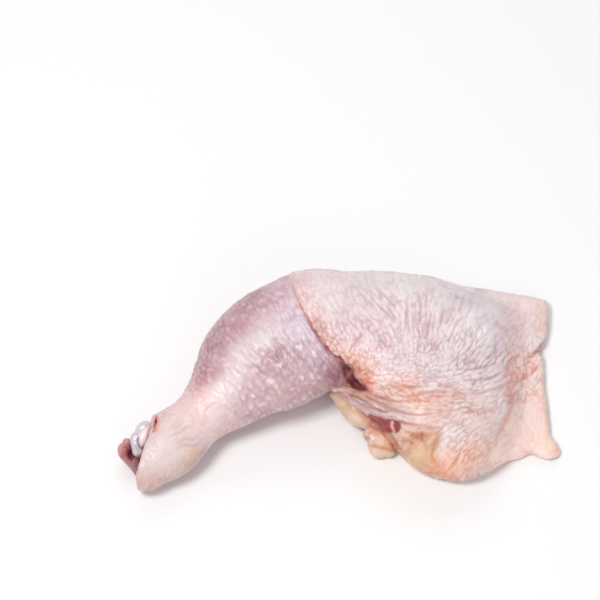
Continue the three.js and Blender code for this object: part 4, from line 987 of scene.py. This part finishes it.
STRAND = [(25.7, 22.6), (25.4, 20.6), (26.6, 18.7), (26.2, 17.3), (27.8, 15.4)]
TAN = area([(19.2, 17.3), (24.0, 19.7), (29.8, 20.6), (41.3, 19.2), (49.4, 18.7), (47.5, 14.4), (44.6, 10.1), (44.6, 6.2), (48.0, 1.4), (52.8, -3.8), (49.0, -6.7), (41.3, -5.8), (32.6, -1.9), (25.9, 2.9), (21.1, 9.6)], 1.92)
TAN_UPPER = area([(21.1, 18.2), (29.8, 20.2), (41.3, 19.2), (49.0, 18.2), (44.2, 9.6), (36.5, 9.6), (27.8, 8.6)], 2.40)
SPECKS = [([(95.5, 63.8)], 0.38), ([(97.4, 66.7)], 0.28), ([(92.2, 64.8)], 0.24)]


def skin_colour(P, N, a, b, info, ridge):
    behind = step(7.0, -6.0, info["s"] + 1.5 * noise(P, 6.0, 203))
    on_drum = mix(behind, info["drum"], info["face"])
    col = mix(SKIN[None, :], DRUM_SKIN[None, :], on_drum[:, None])
    wa = a + 1.6 * noise(P, 9.0, 201)
    wb = b + 1.6 * noise(P, 9.0, 202)
    for where, tints in ((on_drum, ON_DRUM), (1 - on_drum, ON_THIGH)):
        for shape, colour, strength in tints:
            w = shape(wa, wb) * strength * where * (0.3 + 0.7 * info["face"])
            col = mix(col, colour[None, :], w[:, None])
    for shape, tint, much in TONES:
        col = col * (1 + (tint - 1) * (shape(wa, wb) * much * (0.3 + 0.7 * info["face"]))[:, None])
    # blood and fat under the skin, in soft blotches
    m = fbm(P, 8.0, 211, 3)
    col = col * (1 + 0.05 * m[:, None] * np.array([0.5, 1.0, 0.9]))
    m2 = fbm(P, 3.2, 215, 2)
    col = col * (1 + 0.05 * m2[:, None] * np.array([0.4, 1.0, 1.0]))
    # valleys are painted darker and pinker than ridges: painted shade in the wrinkles over pinker skin
    v = np.clip(1.05 - ridge * 1.4, 0, 1)[:, None]
    smooth = 1 - (0.8 - 0.5 * TAN_UPPER(a, b)) * TAN(a, b) * info["face"]
    plain = 0.25 - 0.15 * info["drum"]  # tells between wrinkles, least of all on the drumstick
    depth = ((plain + 0.75 * info["gain"]) * smooth * (1 - 0.2 * info["drum"]))[:, None]
    col = col * (1 - v * depth * np.array([0.33, 0.45, 0.39]))
    # ridge tops are mixed towards white: a painted highlight
    col = mix(col, 1 - (1 - col) * 0.60, (step(0.55, 0.95, ridge) * (plain + 0.05 + 0.7 * info["gain"]) * smooth * 0.9)[:, None])
    # the crumpled folds are orange-red and darker in their valleys: red skin with painted shade
    w = (CRUMPLED(a, b) * info["face"] * step(0.75, 0.3, ridge))[:, None]
    col = mix(col, lin(224, 126, 108)[None, :], w * 0.6)
    # bumps along the lip: orange-pink furrows and cream tops, partly skin colour, partly painted shade and painted
    # highlight
    w = (LIP_BUMPS(a, b) * (1 - info["drum"]) * info["face"] * np.interp(b, [50.40, 79.20], [1.0, 0.25]))[:, None]
    col = mix(col, mix(lin(214, 146, 128), lin(247, 216, 204), step(0.15, 0.85, ridge)[:, None]), w * 0.5)
    # follicle tops lighter and the gaps between them darker and more purple: fat at the follicles and purple skin
    # between, with painted highlight and painted shade
    f = step(-0.1, 0.85, info["bump"])[:, None]
    k = (np.clip(info["amp"], 0, 1) * on_drum * (0.7 + 0.3 * DOTTED(a, b)) * (0.65 + 0.35 * info["face"]))[:, None]
    col = mix(col, col * mix(np.array([[0.84, 0.75, 0.81]]), np.array([[1.12, 1.18, 1.15]]), f), k)
    # white specks on the tallest follicles: painted glints
    w = info["drum"] * info["face"] * step(2.8, 4.2, info["t"]) * (0.35 + 0.65 * DOTTED(a, b)) * step(0.5, 1.1, info["bump"])
    col = mix(col, lin(242, 230, 236)[None, :], (w * 0.6)[:, None])
    w = TAN(wa, wb) * info["face"]
    m3 = fbm(P, 4.4, 221, 3)
    col = col * (1 - w[:, None] * ((0.22 + 0.22 * TAN_UPPER(a, b)) * step(0.15, -0.6, m3))[:, None] * np.array([0.7, 1.4, 1.5]))
    col = mix(col, lin(240, 206, 184)[None, :], (w * step(0.15, 0.75, m3) * 0.5)[:, None])
    # the cut face at the hock: joint capsule over meat, inside a rim of skin
    cut = step(0.86, 0.97, N @ CUT_DIR) * step(-84.0, -88.0, P[:, 0])
    c2 = fbm(P, 3.0, 231, 3)
    flesh = mix(lin(188, 112, 114), lin(226, 196, 194), np.clip(0.5 + 1.1 * c2, 0, 1)[:, None])
    col = mix(col, flesh, (cut * 0.85)[:, None])
    # the deep places: dark red and near-black painted shade over the membrane and meat in the gap and crevice
    # the crevice under the lip: red, darkening with painted shade towards its deep end
    d, u = to_line(a, b, CREVICE)
    w = np.exp(-((d / 0.72) ** 2)) * np.interp(u, [0, 0.15, 0.6, 1], [0.1, 0.5, 0.85, 1]) * info["face"]
    col = mix(col, CREVICE_RED_AND_SHADE[None, :], (w * 0.85)[:, None])
    # the gap: red membrane deepening to dark red, partly painted shade
    d, u = to_line(a, b, GAP_LINE)
    w = GAP_AREA(a, b) * step(0.6, 0.2, N @ LOOK)
    col = mix(col, mix(lin(178, 106, 110), lin(122, 56, 62), np.clip(0.45 + 1.1 * fbm(P, 2.6, 233, 2), 0, 1)[:, None]), (w * 0.92)[:, None])
    # its deepest part painted near-black: painted shade
    w = GAP_PIT(a, b) * step(0.6, 0.2, N @ LOOK)
    col = mix(col, GAP_PAINTED_SHADE[None, :], (w * 0.7)[:, None])
    # a near-black spot in the bottom of the gap: painted shade
    w = spot([(5.8, 48.5)], 1.82, 3.36, 40)(a, b) * info["face"]
    col = mix(col, lin(92, 20, 24)[None, :], (w * 0.92)[:, None])
    w = spot([(-0.5, 42.2)], 3.36, 3.36, 0)(a, b) * info["face"]
    col = mix(col, lin(170, 124, 140)[None, :], (w * 0.6)[:, None])
    d, u = to_line(a, b, MEMBRANE)
    col = mix(col, lin(196, 136, 142)[None, :], (np.exp(-((d / 0.86) ** 2)) * 0.6 * info["face"])[:, None])
    # dark line along the top of the strap: painted shade
    d, u = to_line(a, b, STRAP_TOP)
    col = mix(col, GAP_PAINTED_SHADE[None, :], (np.exp(-((d / 0.58) ** 2)) * 0.7 * info["face"])[:, None])
    w = MEAT_GAP(a, b) * step(0.6, 0.3, N @ LOOK)
    col = mix(col, mix(lin(172, 62, 58), lin(120, 34, 38), np.clip(0.5 + 0.9 * m2[:, None], 0, 1)), (w * 0.97)[:, None])
    d, u = to_line(a, b, STRAND)
    col = mix(col, lin(236, 190, 184)[None, :], (np.exp(-((d / 0.62) ** 2)) * info["face"] * 0.9)[:, None])
    # dark red-brown down the gash: red flesh with painted shade in the slit
    d, u = to_line(a, b, GASH)
    col = mix(col, lin(134, 52, 48)[None, :], (np.exp(-((d / 0.53) ** 2)) * info["drum"] * 0.9)[:, None])
    for p, r in SPECKS:
        w = np.exp(-(((a - p[0][0]) / r) ** 2 + ((b - p[0][1]) / (1.4 * r)) ** 2)) * info["face"]
        col = mix(col, lin(158, 122, 118)[None, :], (w * 0.7)[:, None])
    return np.clip(col, 0.01, 0.97)


def paint(ob, **layers):
    for name, values in layers.items():
        if values.ndim == 2:
            at = ob.data.attributes.new(name, "FLOAT_COLOR", "POINT")
            at.data.foreach_set("color", np.concatenate([values, np.ones((len(values), 1))], 1).astype(np.float32).ravel())
        else:
            at = ob.data.attributes.new(name, "FLOAT", "POINT")
            at.data.foreach_set("value", values.astype(np.float32))


# ------------------------------------------------------------------ materials
class Nodes:
    def __init__(self, name):
        self.mat = bpy.data.materials.new(name)
        self.mat.use_nodes = True
        self.t = self.mat.node_tree
        self.t.nodes.clear()
        self.out = self.t.nodes.new("ShaderNodeOutputMaterial")
        self.bsdf = self.t.nodes.new("ShaderNodeBsdfPrincipled")
        self.t.links.new(self.bsdf.outputs[0], self.out.inputs[0])

    def add(self, kind, **props):
        n = self.t.nodes.new("ShaderNode" + kind)
        for k, v in props.items():
            setattr(n, k, v)
        return n

    def link(self, a, b):
        self.t.links.new(a, b)

    def put(self, **values):
        for k, v in values.items():
            self.bsdf.inputs[k.replace("_", " ")].default_value = v


def wet_material(name, sss, rough, coat, coat_rough, grain, pebble, bump_mm, spec=0.5):
    """Moist skin, fat or meat. Colour and wetness come from the piece, fine pores and mottling from noise."""
    m = Nodes(name)
    m.put(Subsurface_Weight=sss, Subsurface_Scale=0.0012, Subsurface_Anisotropy=0.0, Coat_Weight=coat, Coat_Roughness=coat_rough, Coat_IOR=1.38, IOR=1.42, Specular_IOR_Level=spec, Metallic=0.0)
    m.bsdf.inputs["Subsurface Radius"].default_value = (1.0, 0.45, 0.35)
    tint = m.add("Attribute", attribute_name="tint", attribute_type="GEOMETRY")
    wet = m.add("Attribute", attribute_name="wet", attribute_type="GEOMETRY")
    co = m.add("TexCoord")
    n1 = m.add("TexNoise", noise_dimensions="3D")
    n1.inputs["Scale"].default_value = 1000.0 / grain
    n1.inputs["Detail"].default_value = 3.0
    n1.inputs["Roughness"].default_value = 0.6
    m.link(co.outputs["Object"], n1.inputs["Vector"])
    n2 = m.add("TexNoise", noise_dimensions="3D")
    n2.inputs["Scale"].default_value = 1000.0 / 2.6
    n2.inputs["Detail"].default_value = 2.0
    m.link(co.outputs["Object"], n2.inputs["Vector"])
    vo = m.add("TexVoronoi", voronoi_dimensions="3D", feature="SMOOTH_F1")
    vo.inputs["Scale"].default_value = 1000.0 / pebble
    vo.inputs["Smoothness"].default_value = 0.6
    vo.inputs["Randomness"].default_value = 1.0
    m.link(co.outputs["Object"], vo.inputs["Vector"])
    # mottled colour
    ramp = m.add("MapRange")
    ramp.inputs["From Min"].default_value, ramp.inputs["From Max"].default_value = 0.3, 0.7
    ramp.inputs["To Min"].default_value, ramp.inputs["To Max"].default_value = 0.955, 1.035
    m.link(n2.outputs["Fac"], ramp.inputs["Value"])
    shade = m.add("Mix", data_type="RGBA", blend_type="MULTIPLY")
    shade.inputs["Factor"].default_value = 1.0
    grey = m.add("CombineColor")
    m.link(ramp.outputs["Result"], grey.inputs["Green"])
    m.link(ramp.outputs["Result"], grey.inputs["Blue"])
    grey.inputs["Red"].default_value = 1.0
    m.link(tint.outputs["Color"], shade.inputs["A"])
    m.link(grey.outputs["Color"], shade.inputs["B"])
    m.link(shade.outputs["Result"], m.bsdf.inputs["Base Color"])
    # wetness
    r = m.add("MapRange")
    r.inputs["From Min"].default_value, r.inputs["From Max"].default_value = 0.0, 1.0
    r.inputs["To Min"].default_value, r.inputs["To Max"].default_value = rough + 0.14, max(rough - 0.1, 0.12)
    m.link(wet.outputs["Fac"], r.inputs["Value"])
    rn = m.add("Math", operation="MULTIPLY_ADD")
    m.link(n1.outputs["Fac"], rn.inputs[0])
    rn.inputs[1].default_value = 0.12
    m.link(r.outputs["Result"], rn.inputs[2])
    m.link(rn.outputs[0], m.bsdf.inputs["Roughness"])
    # pores and pebbles
    h = m.add("Math", operation="MULTIPLY_ADD")
    m.link(vo.outputs["Distance"], h.inputs[0])
    h.inputs[1].default_value = -0.8
    m.link(n1.outputs["Fac"], h.inputs[2])
    b = m.add("Bump")
    b.inputs["Strength"].default_value = 1.0
    b.inputs["Distance"].default_value = bump_mm / 1000.0
    m.link(h.outputs[0], b.inputs["Height"])
    m.link(b.outputs["Normal"], m.bsdf.inputs["Normal"])
    m.link(b.outputs["Normal"], m.bsdf.inputs["Coat Normal"])
    return m.mat


# ------------------------------------------------------------------ the leg
lo, hi = (-110.0, -20.0, -3.0), (112.0, 112.0, 54.0)
V, Q = nets(body_field, lo, hi, CELL)
V = relax(V, Q, 2, 0.4)
V = settle(body_field, V, 1)
N = normals(V, Q)
seen = (-(N @ LOOK))[Q].max(1) > -0.7
V, Q, T = refine(V, Q, seen & (V[Q][:, :, 2].max(1) > 0.4))
V = settle(body_field, V, 2)
V[V[:, 2] < 0.06, 2] = 0.0
N = gradient(body_field, V, 0.5)
N /= np.maximum(np.linalg.norm(N, axis=1, keepdims=True), 1e-9)
a, b = sight(V)
H, RIDGE, INFO = relief(V, N, a, b)
TINT = skin_colour(V, N, a, b, INFO, RIDGE)
V2 = V + N * H[:, None]
V2[:, 2] = np.maximum(V2[:, 2], 0)
leg = make_object("leg_skin", V2, Q, T)
paint(leg, tint=TINT, wet=np.clip(0.30 + 0.45 * step(0.3, 0.9, RIDGE), 0, 1))
leg.data.materials.append(wet_material("skin", 0.10, 0.37, 0.34, 0.17, 0.9, 1.5, 0.11))
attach(leg, "root")
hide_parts("leg_meat_and_skin")
print("leg", len(V2), "vertices", len(Q) * 2 + len(T), "triangles")


# ------------------------------------------------------------------ fat along the thigh's edge
FAT_A = stations([(-2.4, 36.0), (1.9, 32.9), (6.2, 29.3), (10.3, 26.2), (13.9, 24.0)], [10.5, 11.0, 10.5, 9.5, 8.5], [1.4, 3.4, 4.8, 5.4, 4.2], [2.0, 4.2, 6.0, 6.6, 5.4])
FAT_B = [([(16.3, 17.5)], 7.0, (3.0, 2.6, 4.6), 20), ([(19.7, 15.6)], 7.0, (3.8, 3.0, 5.6), -25), ([(20.6, 9.1)], 4.6, (5.0, 3.0, 4.2), 10), ([(15.4, 15.6)], 6.2, (3.4, 1.5, 2.3), -20),
         ([(15.8, 22.1)], 8.6, (3.2, 3.0, 3.6), 20), ([(18.7, 20.6)], 8.0, (3.4, 3.2, 4.6), 0), ([(24.0, 13.9)], 6.8, (3.6, 3.6, 5.6), -50), ([(17.3, 12.2)], 5.2, (3.4, 2.6, 3.8), 30), ([(22.1, 11.5)], 6.0, (3.8, 2.8, 5.0), 0), ([(24.5, 9.8)], 4.6, (3.4, 2.6, 4.0), -30)]


def fat_a(P):
    return smax(limb(P, FAT_A) + 0.3 * noise(P, 5.0, 71) + 0.1 * noise(P, 2.0, 72), -P[:, 2], 1.0)


def fat_b(P):
    f = None
    for p, z, r, turn in FAT_B:
        e = egg(P, at(p[0], z), r, turn)
        f = e if f is None else smin(f, e, 2.2)
    a, b = sight(P)
    for line, half, depth in FAT_FOLDS:
        d, _ = to_line(a, b, line)
        f = f + depth * np.exp(-((d / half) ** 2))
    return smax(f + 0.45 * noise(P, 4.0, 73) + 0.22 * noise(P, 1.8, 74), -P[:, 2], 1.0)


FAT_FOLDS = [([(15.4, 11.8), (18.7, 11.3), (22.1, 10.1), (26.4, 9.8)], 0.72, 0.5), ([(14.9, 17.8), (17.3, 16.8), (20.2, 17.3)], 0.77, 0.2), ([(22.6, 18.2), (24.0, 15.4), (25.9, 13.0), (27.8, 10.1)], 0.77, 0.5)]


# ------------------------------------------------------------------ the cut end of the drumstick
CARTILAGE = [  # upper lobe, curved lower rim, pale raised strip, the hollow between
    stations([(-90.2, 21.4), (-92.6, 20.4), (-94.3, 18.7), (-95.8, 17.0)], [17.5, 17.0, 16.0, 14.5], [1.6, 3.0, 3.2, 1.9], [2.6, 3.6, 3.6, 2.6]),
    stations([(-95.8, 17.3), (-97.2, 14.6), (-97.2, 11.5), (-96.0, 8.6), (-94.3, 6.5)], [14.5, 13.0, 12.0, 11.0, 9.5], [2.2, 2.7, 2.1, 2.4, 1.3], [2.6, 3.2, 2.6, 2.6, 1.6]),
    stations([(-91.0, 19.7), (-92.6, 17.3), (-93.8, 14.2), (-94.4, 11.5)], [19.6, 18.8, 17.6, 16.0], [1.4, 2.5, 2.3, 1.2], [2.0, 2.8, 2.6, 1.8]),
    stations([(-92.2, 16.3), (-93.6, 12.5), (-93.6, 9.1)], [15.0, 13.5, 11.5], [3.6, 3.0, 2.4], [3.6, 3.2, 2.4]),
]
TAB = stations([(-96.3, -1.4), (-97.4, 2.4), (-99.6, 6.2), (-101.7, 9.8), (-101.2, 12.5)], [2.8, 4.8, 6.6, 9.0, 10.5], [1.4, 2.9, 3.9, 4.1, 2.4], [2.0, 3.8, 5.2, 5.2, 3.2])


def hock(P):
    f = limb(P, CARTILAGE[0])
    for st, k in zip(CARTILAGE[1:], (0.6, 0.7, 1.2)):
        f = smin(f, limb(P, st), k)
    return f + 0.22 * noise(P, 3.0, 75) + 0.10 * noise(P, 1.4, 76)


def tab(P):
    f = limb(P, TAB)
    hollow = egg(P, at([(-99.1, 8.2)][0], 12.0), (1.6, 4.0, 4.0), -20)
    return smax(f + 0.2 * noise(P, 3.0, 77), -hollow, 1.6)


def small_piece(name, field, colour, material, node, h=0.42):
    nodes_box = [np.array(v) * 1000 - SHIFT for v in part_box(node)]
    V, Q = nets(field, tuple(nodes_box[0] - 9), tuple(nodes_box[1] + 9), h)
    V = settle(field, relax(V, Q, 2, 0.5), 2)
    V[:, 2] = np.maximum(V[:, 2], 0)
    N = normals(V, Q)
    a, b = sight(V)
    ob = make_object(name, V, Q)
    tint, wet = colour(V, N, a, b)
    paint(ob, tint=np.clip(tint, 0.01, 0.97), wet=wet)
    ob.data.materials.append(material)
    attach(ob, "root")
    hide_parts(node)
    print(name, len(V), "vertices")
    return ob


def fat_a_colour(V, N, a, b):
    m = fbm(V, 4.0, 81, 3)[:, None]
    col = mix(lin(216, 180, 156), lin(234, 206, 186), np.clip(0.5 + m, 0, 1))
    # orange-brown along the side under the strap: membrane colour with the strap's painted shadow
    side = band([(2.9, 36.5), (7.2, 33.1), (11.0, 29.3), (15.4, 25.9)], 2.88, False)(a, b)[:, None]
    col = mix(col, lin(188, 126, 94), side * 0.8)
    # pale spot on the lobe: a painted highlight
    pale = spot([(8.6, 24.5)], 3.36, 1.92, -35)(a, b)[:, None]
    col = mix(col, lin(236, 212, 190), pale * 0.7)
    edge = band([(-1.9, 34.6), (1.4, 29.8), (4.3, 25.4), (8.6, 22.1)], 1.44, False)(a, b)[:, None]
    return mix(col, lin(214, 184, 156), edge * 0.6), np.full(len(V), 0.8)


def fat_b_colour(V, N, a, b):
    m = fbm(V, 3.0, 82, 3)[:, None]
    col = mix(lin(214, 164, 140), lin(236, 204, 184), np.clip(0.5 + 1.3 * m, 0, 1))
    low = spot([(20.2, 7.7)], 6.24, 2.40, 0)(a, b)[:, None]
    col = mix(col, lin(228, 204, 176), low * 0.85)
    flesh = spot([(17.3, 22.1)], 3.84, 2.88, -20)(a, b)[:, None]
    col = mix(col, mix(lin(196, 128, 112), lin(176, 92, 88), np.clip(0.5 + 1.5 * m, 0, 1)), flesh * 0.9)
    top = spot([(20.6, 18.7)], 4.80, 1.73, 10)(a, b)[:, None]
    col = mix(col, lin(208, 140, 116), top * 0.7)
    right = band([(23.5, 18.2), (25.4, 14.4), (27.8, 11.0)], 1.92, False)(a, b)[:, None]
    col = mix(col, lin(206, 128, 98), right * 0.7)
    for p, ra, rb, turn, tint, much in (
        ([(18.2, 15.8)], 2.40, 1.68, 0, lin(240, 206, 186), 0.6), ([(22.6, 10.6)], 2.88, 0.96, -20, lin(204, 134, 104), 0.6),
        ([(25.9, 11.0)], 1.44, 1.92, 20, lin(208, 136, 112), 0.7), ([(22.1, 17.5)], 2.16, 1.15, 0, lin(218, 130, 104), 0.7), ([(15.8, 13.4)], 1.44, 1.92, 0, lin(232, 206, 190), 0.6),
    ):
        col = mix(col, tint, spot(p, ra, rb, turn)(a, b)[:, None] * much)
    # the folds between the lumps: darker orange, partly painted shade in the creases
    for line, half, depth in FAT_FOLDS:
        d, _ = to_line(a, b, line)
        col = mix(col, lin(202, 138, 112), (np.exp(-((d / half) ** 2)) * 0.45)[:, None])
    tip = spot([(13.7, 15.1)], 1.63, 0.96, 0)(a, b)[:, None]
    return mix(col, lin(150, 142, 142), tip * 0.75), np.full(len(V), 0.85)


def hock_colour(V, N, a, b):
    m = fbm(V, 3.0, 83, 2)[:, None]
    col = mix(lin(200, 192, 200), lin(224, 215, 220), 0.5 + 0.5 * m)
    strip = band([(-91.2, 20.2), (-92.9, 17.8), (-94.1, 14.9), (-94.8, 12.0)], 1.63, True)(a, b)[:, None]
    col = mix(col, lin(248, 226, 228), strip * 0.9)
    for line, half, tint, much in (
        # the dark slit between the lower rim and the pale strip: painted shade
        ([(-95.8, 16.3), (-96.0, 13.9), (-95.3, 11.3), (-94.1, 10.1)], 0.53, lin(128, 100, 116), 0.85),
        ([(-97.4, 13.9), (-97.0, 11.0), (-95.5, 8.6)], 0.43, lin(140, 124, 138), 0.5),
        ([(-93.4, 11.5), (-93.1, 9.6), (-93.6, 7.2)], 1.15, lin(176, 136, 142), 0.8),
        ([(-90.5, 20.2), (-90.7, 17.3), (-91.7, 14.4)], 0.77, lin(214, 168, 164), 0.6),
    ):
        col = mix(col, tint, band(line, half, True)(a, b)[:, None] * much)
    low = spot([(-94.8, 6.2)], 1.73, 1.54, 0)(a, b)[:, None]
    return mix(col, lin(104, 74, 78), low * 0.85), np.full(len(V), 0.85)


def tab_colour(V, N, a, b):
    m = fbm(V, 2.6, 85, 2)[:, None]
    col = mix(lin(158, 88, 92), lin(184, 116, 118), 0.5 + 0.7 * m)
    low = spot([(-97.4, 1.9)], 2.40, 3.84, 30)(a, b)[:, None]
    col = mix(col, lin(158, 124, 128), low * 0.8)
    core = spot([(-99.6, 7.7)], 2.02, 3.12, 25)(a, b)[:, None]
    col = mix(col, lin(104, 40, 48), core * 0.92)
    rim = band([(-105.6, 8.6), (-103.9, 12.5), (-101.3, 14.2)], 1.15, False)(a, b)[:, None]
    return mix(col, lin(214, 154, 152), rim * 0.75), np.full(len(V), 0.8)


FAT = wet_material("fat", 0.25, 0.34, 0.35, 0.16, 1.2, 2.2, 0.05)
small_piece("fat_upper", fat_a, fat_a_colour, FAT, "fat_lobe_upper")
small_piece("fat_lower", fat_b, fat_b_colour, FAT, "fat_lobe_lower")
small_piece("hock_end", hock, hock_colour, wet_material("cartilage", 0.2, 0.26, 0.5, 0.12, 1.0, 2.0, 0.03), "hock_cartilage")
small_piece("hock_meat", tab, tab_colour, wet_material("red_meat", 0.15, 0.32, 0.4, 0.15, 0.8, 1.6, 0.06), "hock_tendon")

# ------------------------------------------------------------------ floor, light and camera
bpy.ops.mesh.primitive_plane_add(size=6)
floor = bpy.context.object
floor.name = "floor"
fm = Nodes("floor")
fm.put(Roughness=0.9, Base_Color=(0.94, 0.94, 0.94, 1))
floor.data.materials.append(fm.mat)

world = bpy.data.worlds.new("studio")
bpy.context.scene.world = world
world.use_nodes = True
world.node_tree.nodes["Background"].inputs["Color"].default_value = (1.0, 1.0, 1.0, 1)
world.node_tree.nodes["Background"].inputs["Strength"].default_value = 0.46


def softbox(name, place, target, size, power, colour=(1, 1, 1)):
    light = bpy.data.lights.new(name, "AREA")
    light.shape = "RECTANGLE"
    light.size, light.size_y = size
    light.energy = power
    light.color = colour
    ob = bpy.data.objects.new(name, light)
    bpy.context.scene.collection.objects.link(ob)
    ob.location = place
    from mathutils import Vector
    ob.rotation_mode = "QUATERNION"
    ob.rotation_quaternion = (Vector(target) - Vector(place)).to_track_quat("-Z", "Y")
    return ob


softbox("key", (-0.42, -0.30, 1.10), (0, 0, 0), (0.36, 0.36), 7.6)
softbox("back", (0.10, 0.95, 0.85), (0, 0, 0), (1.0, 0.6), 3.0)
softbox("front", (0.35, -1.2, 0.7), (0, 0, 0), (1.2, 0.8), 3.0)

cam_data = bpy.data.cameras.new("camera")
cam_data.sensor_width = 36.0
cam_data.lens = DIST / PITCH / 600 * 36
cam_data.clip_start, cam_data.clip_end = 0.05, 20
camera = bpy.data.objects.new("camera", cam_data)
bpy.context.scene.collection.objects.link(camera)
from mathutils import Vector
camera.location = (CAM + SHIFT) / 1000
camera.rotation_mode = "QUATERNION"
camera.rotation_quaternion = Vector(LOOK).to_track_quat("-Z", "Y")
bpy.context.scene.camera = camera
bpy.context.scene.view_settings.view_transform = "Standard"
bpy.context.scene.view_settings.look = "None"
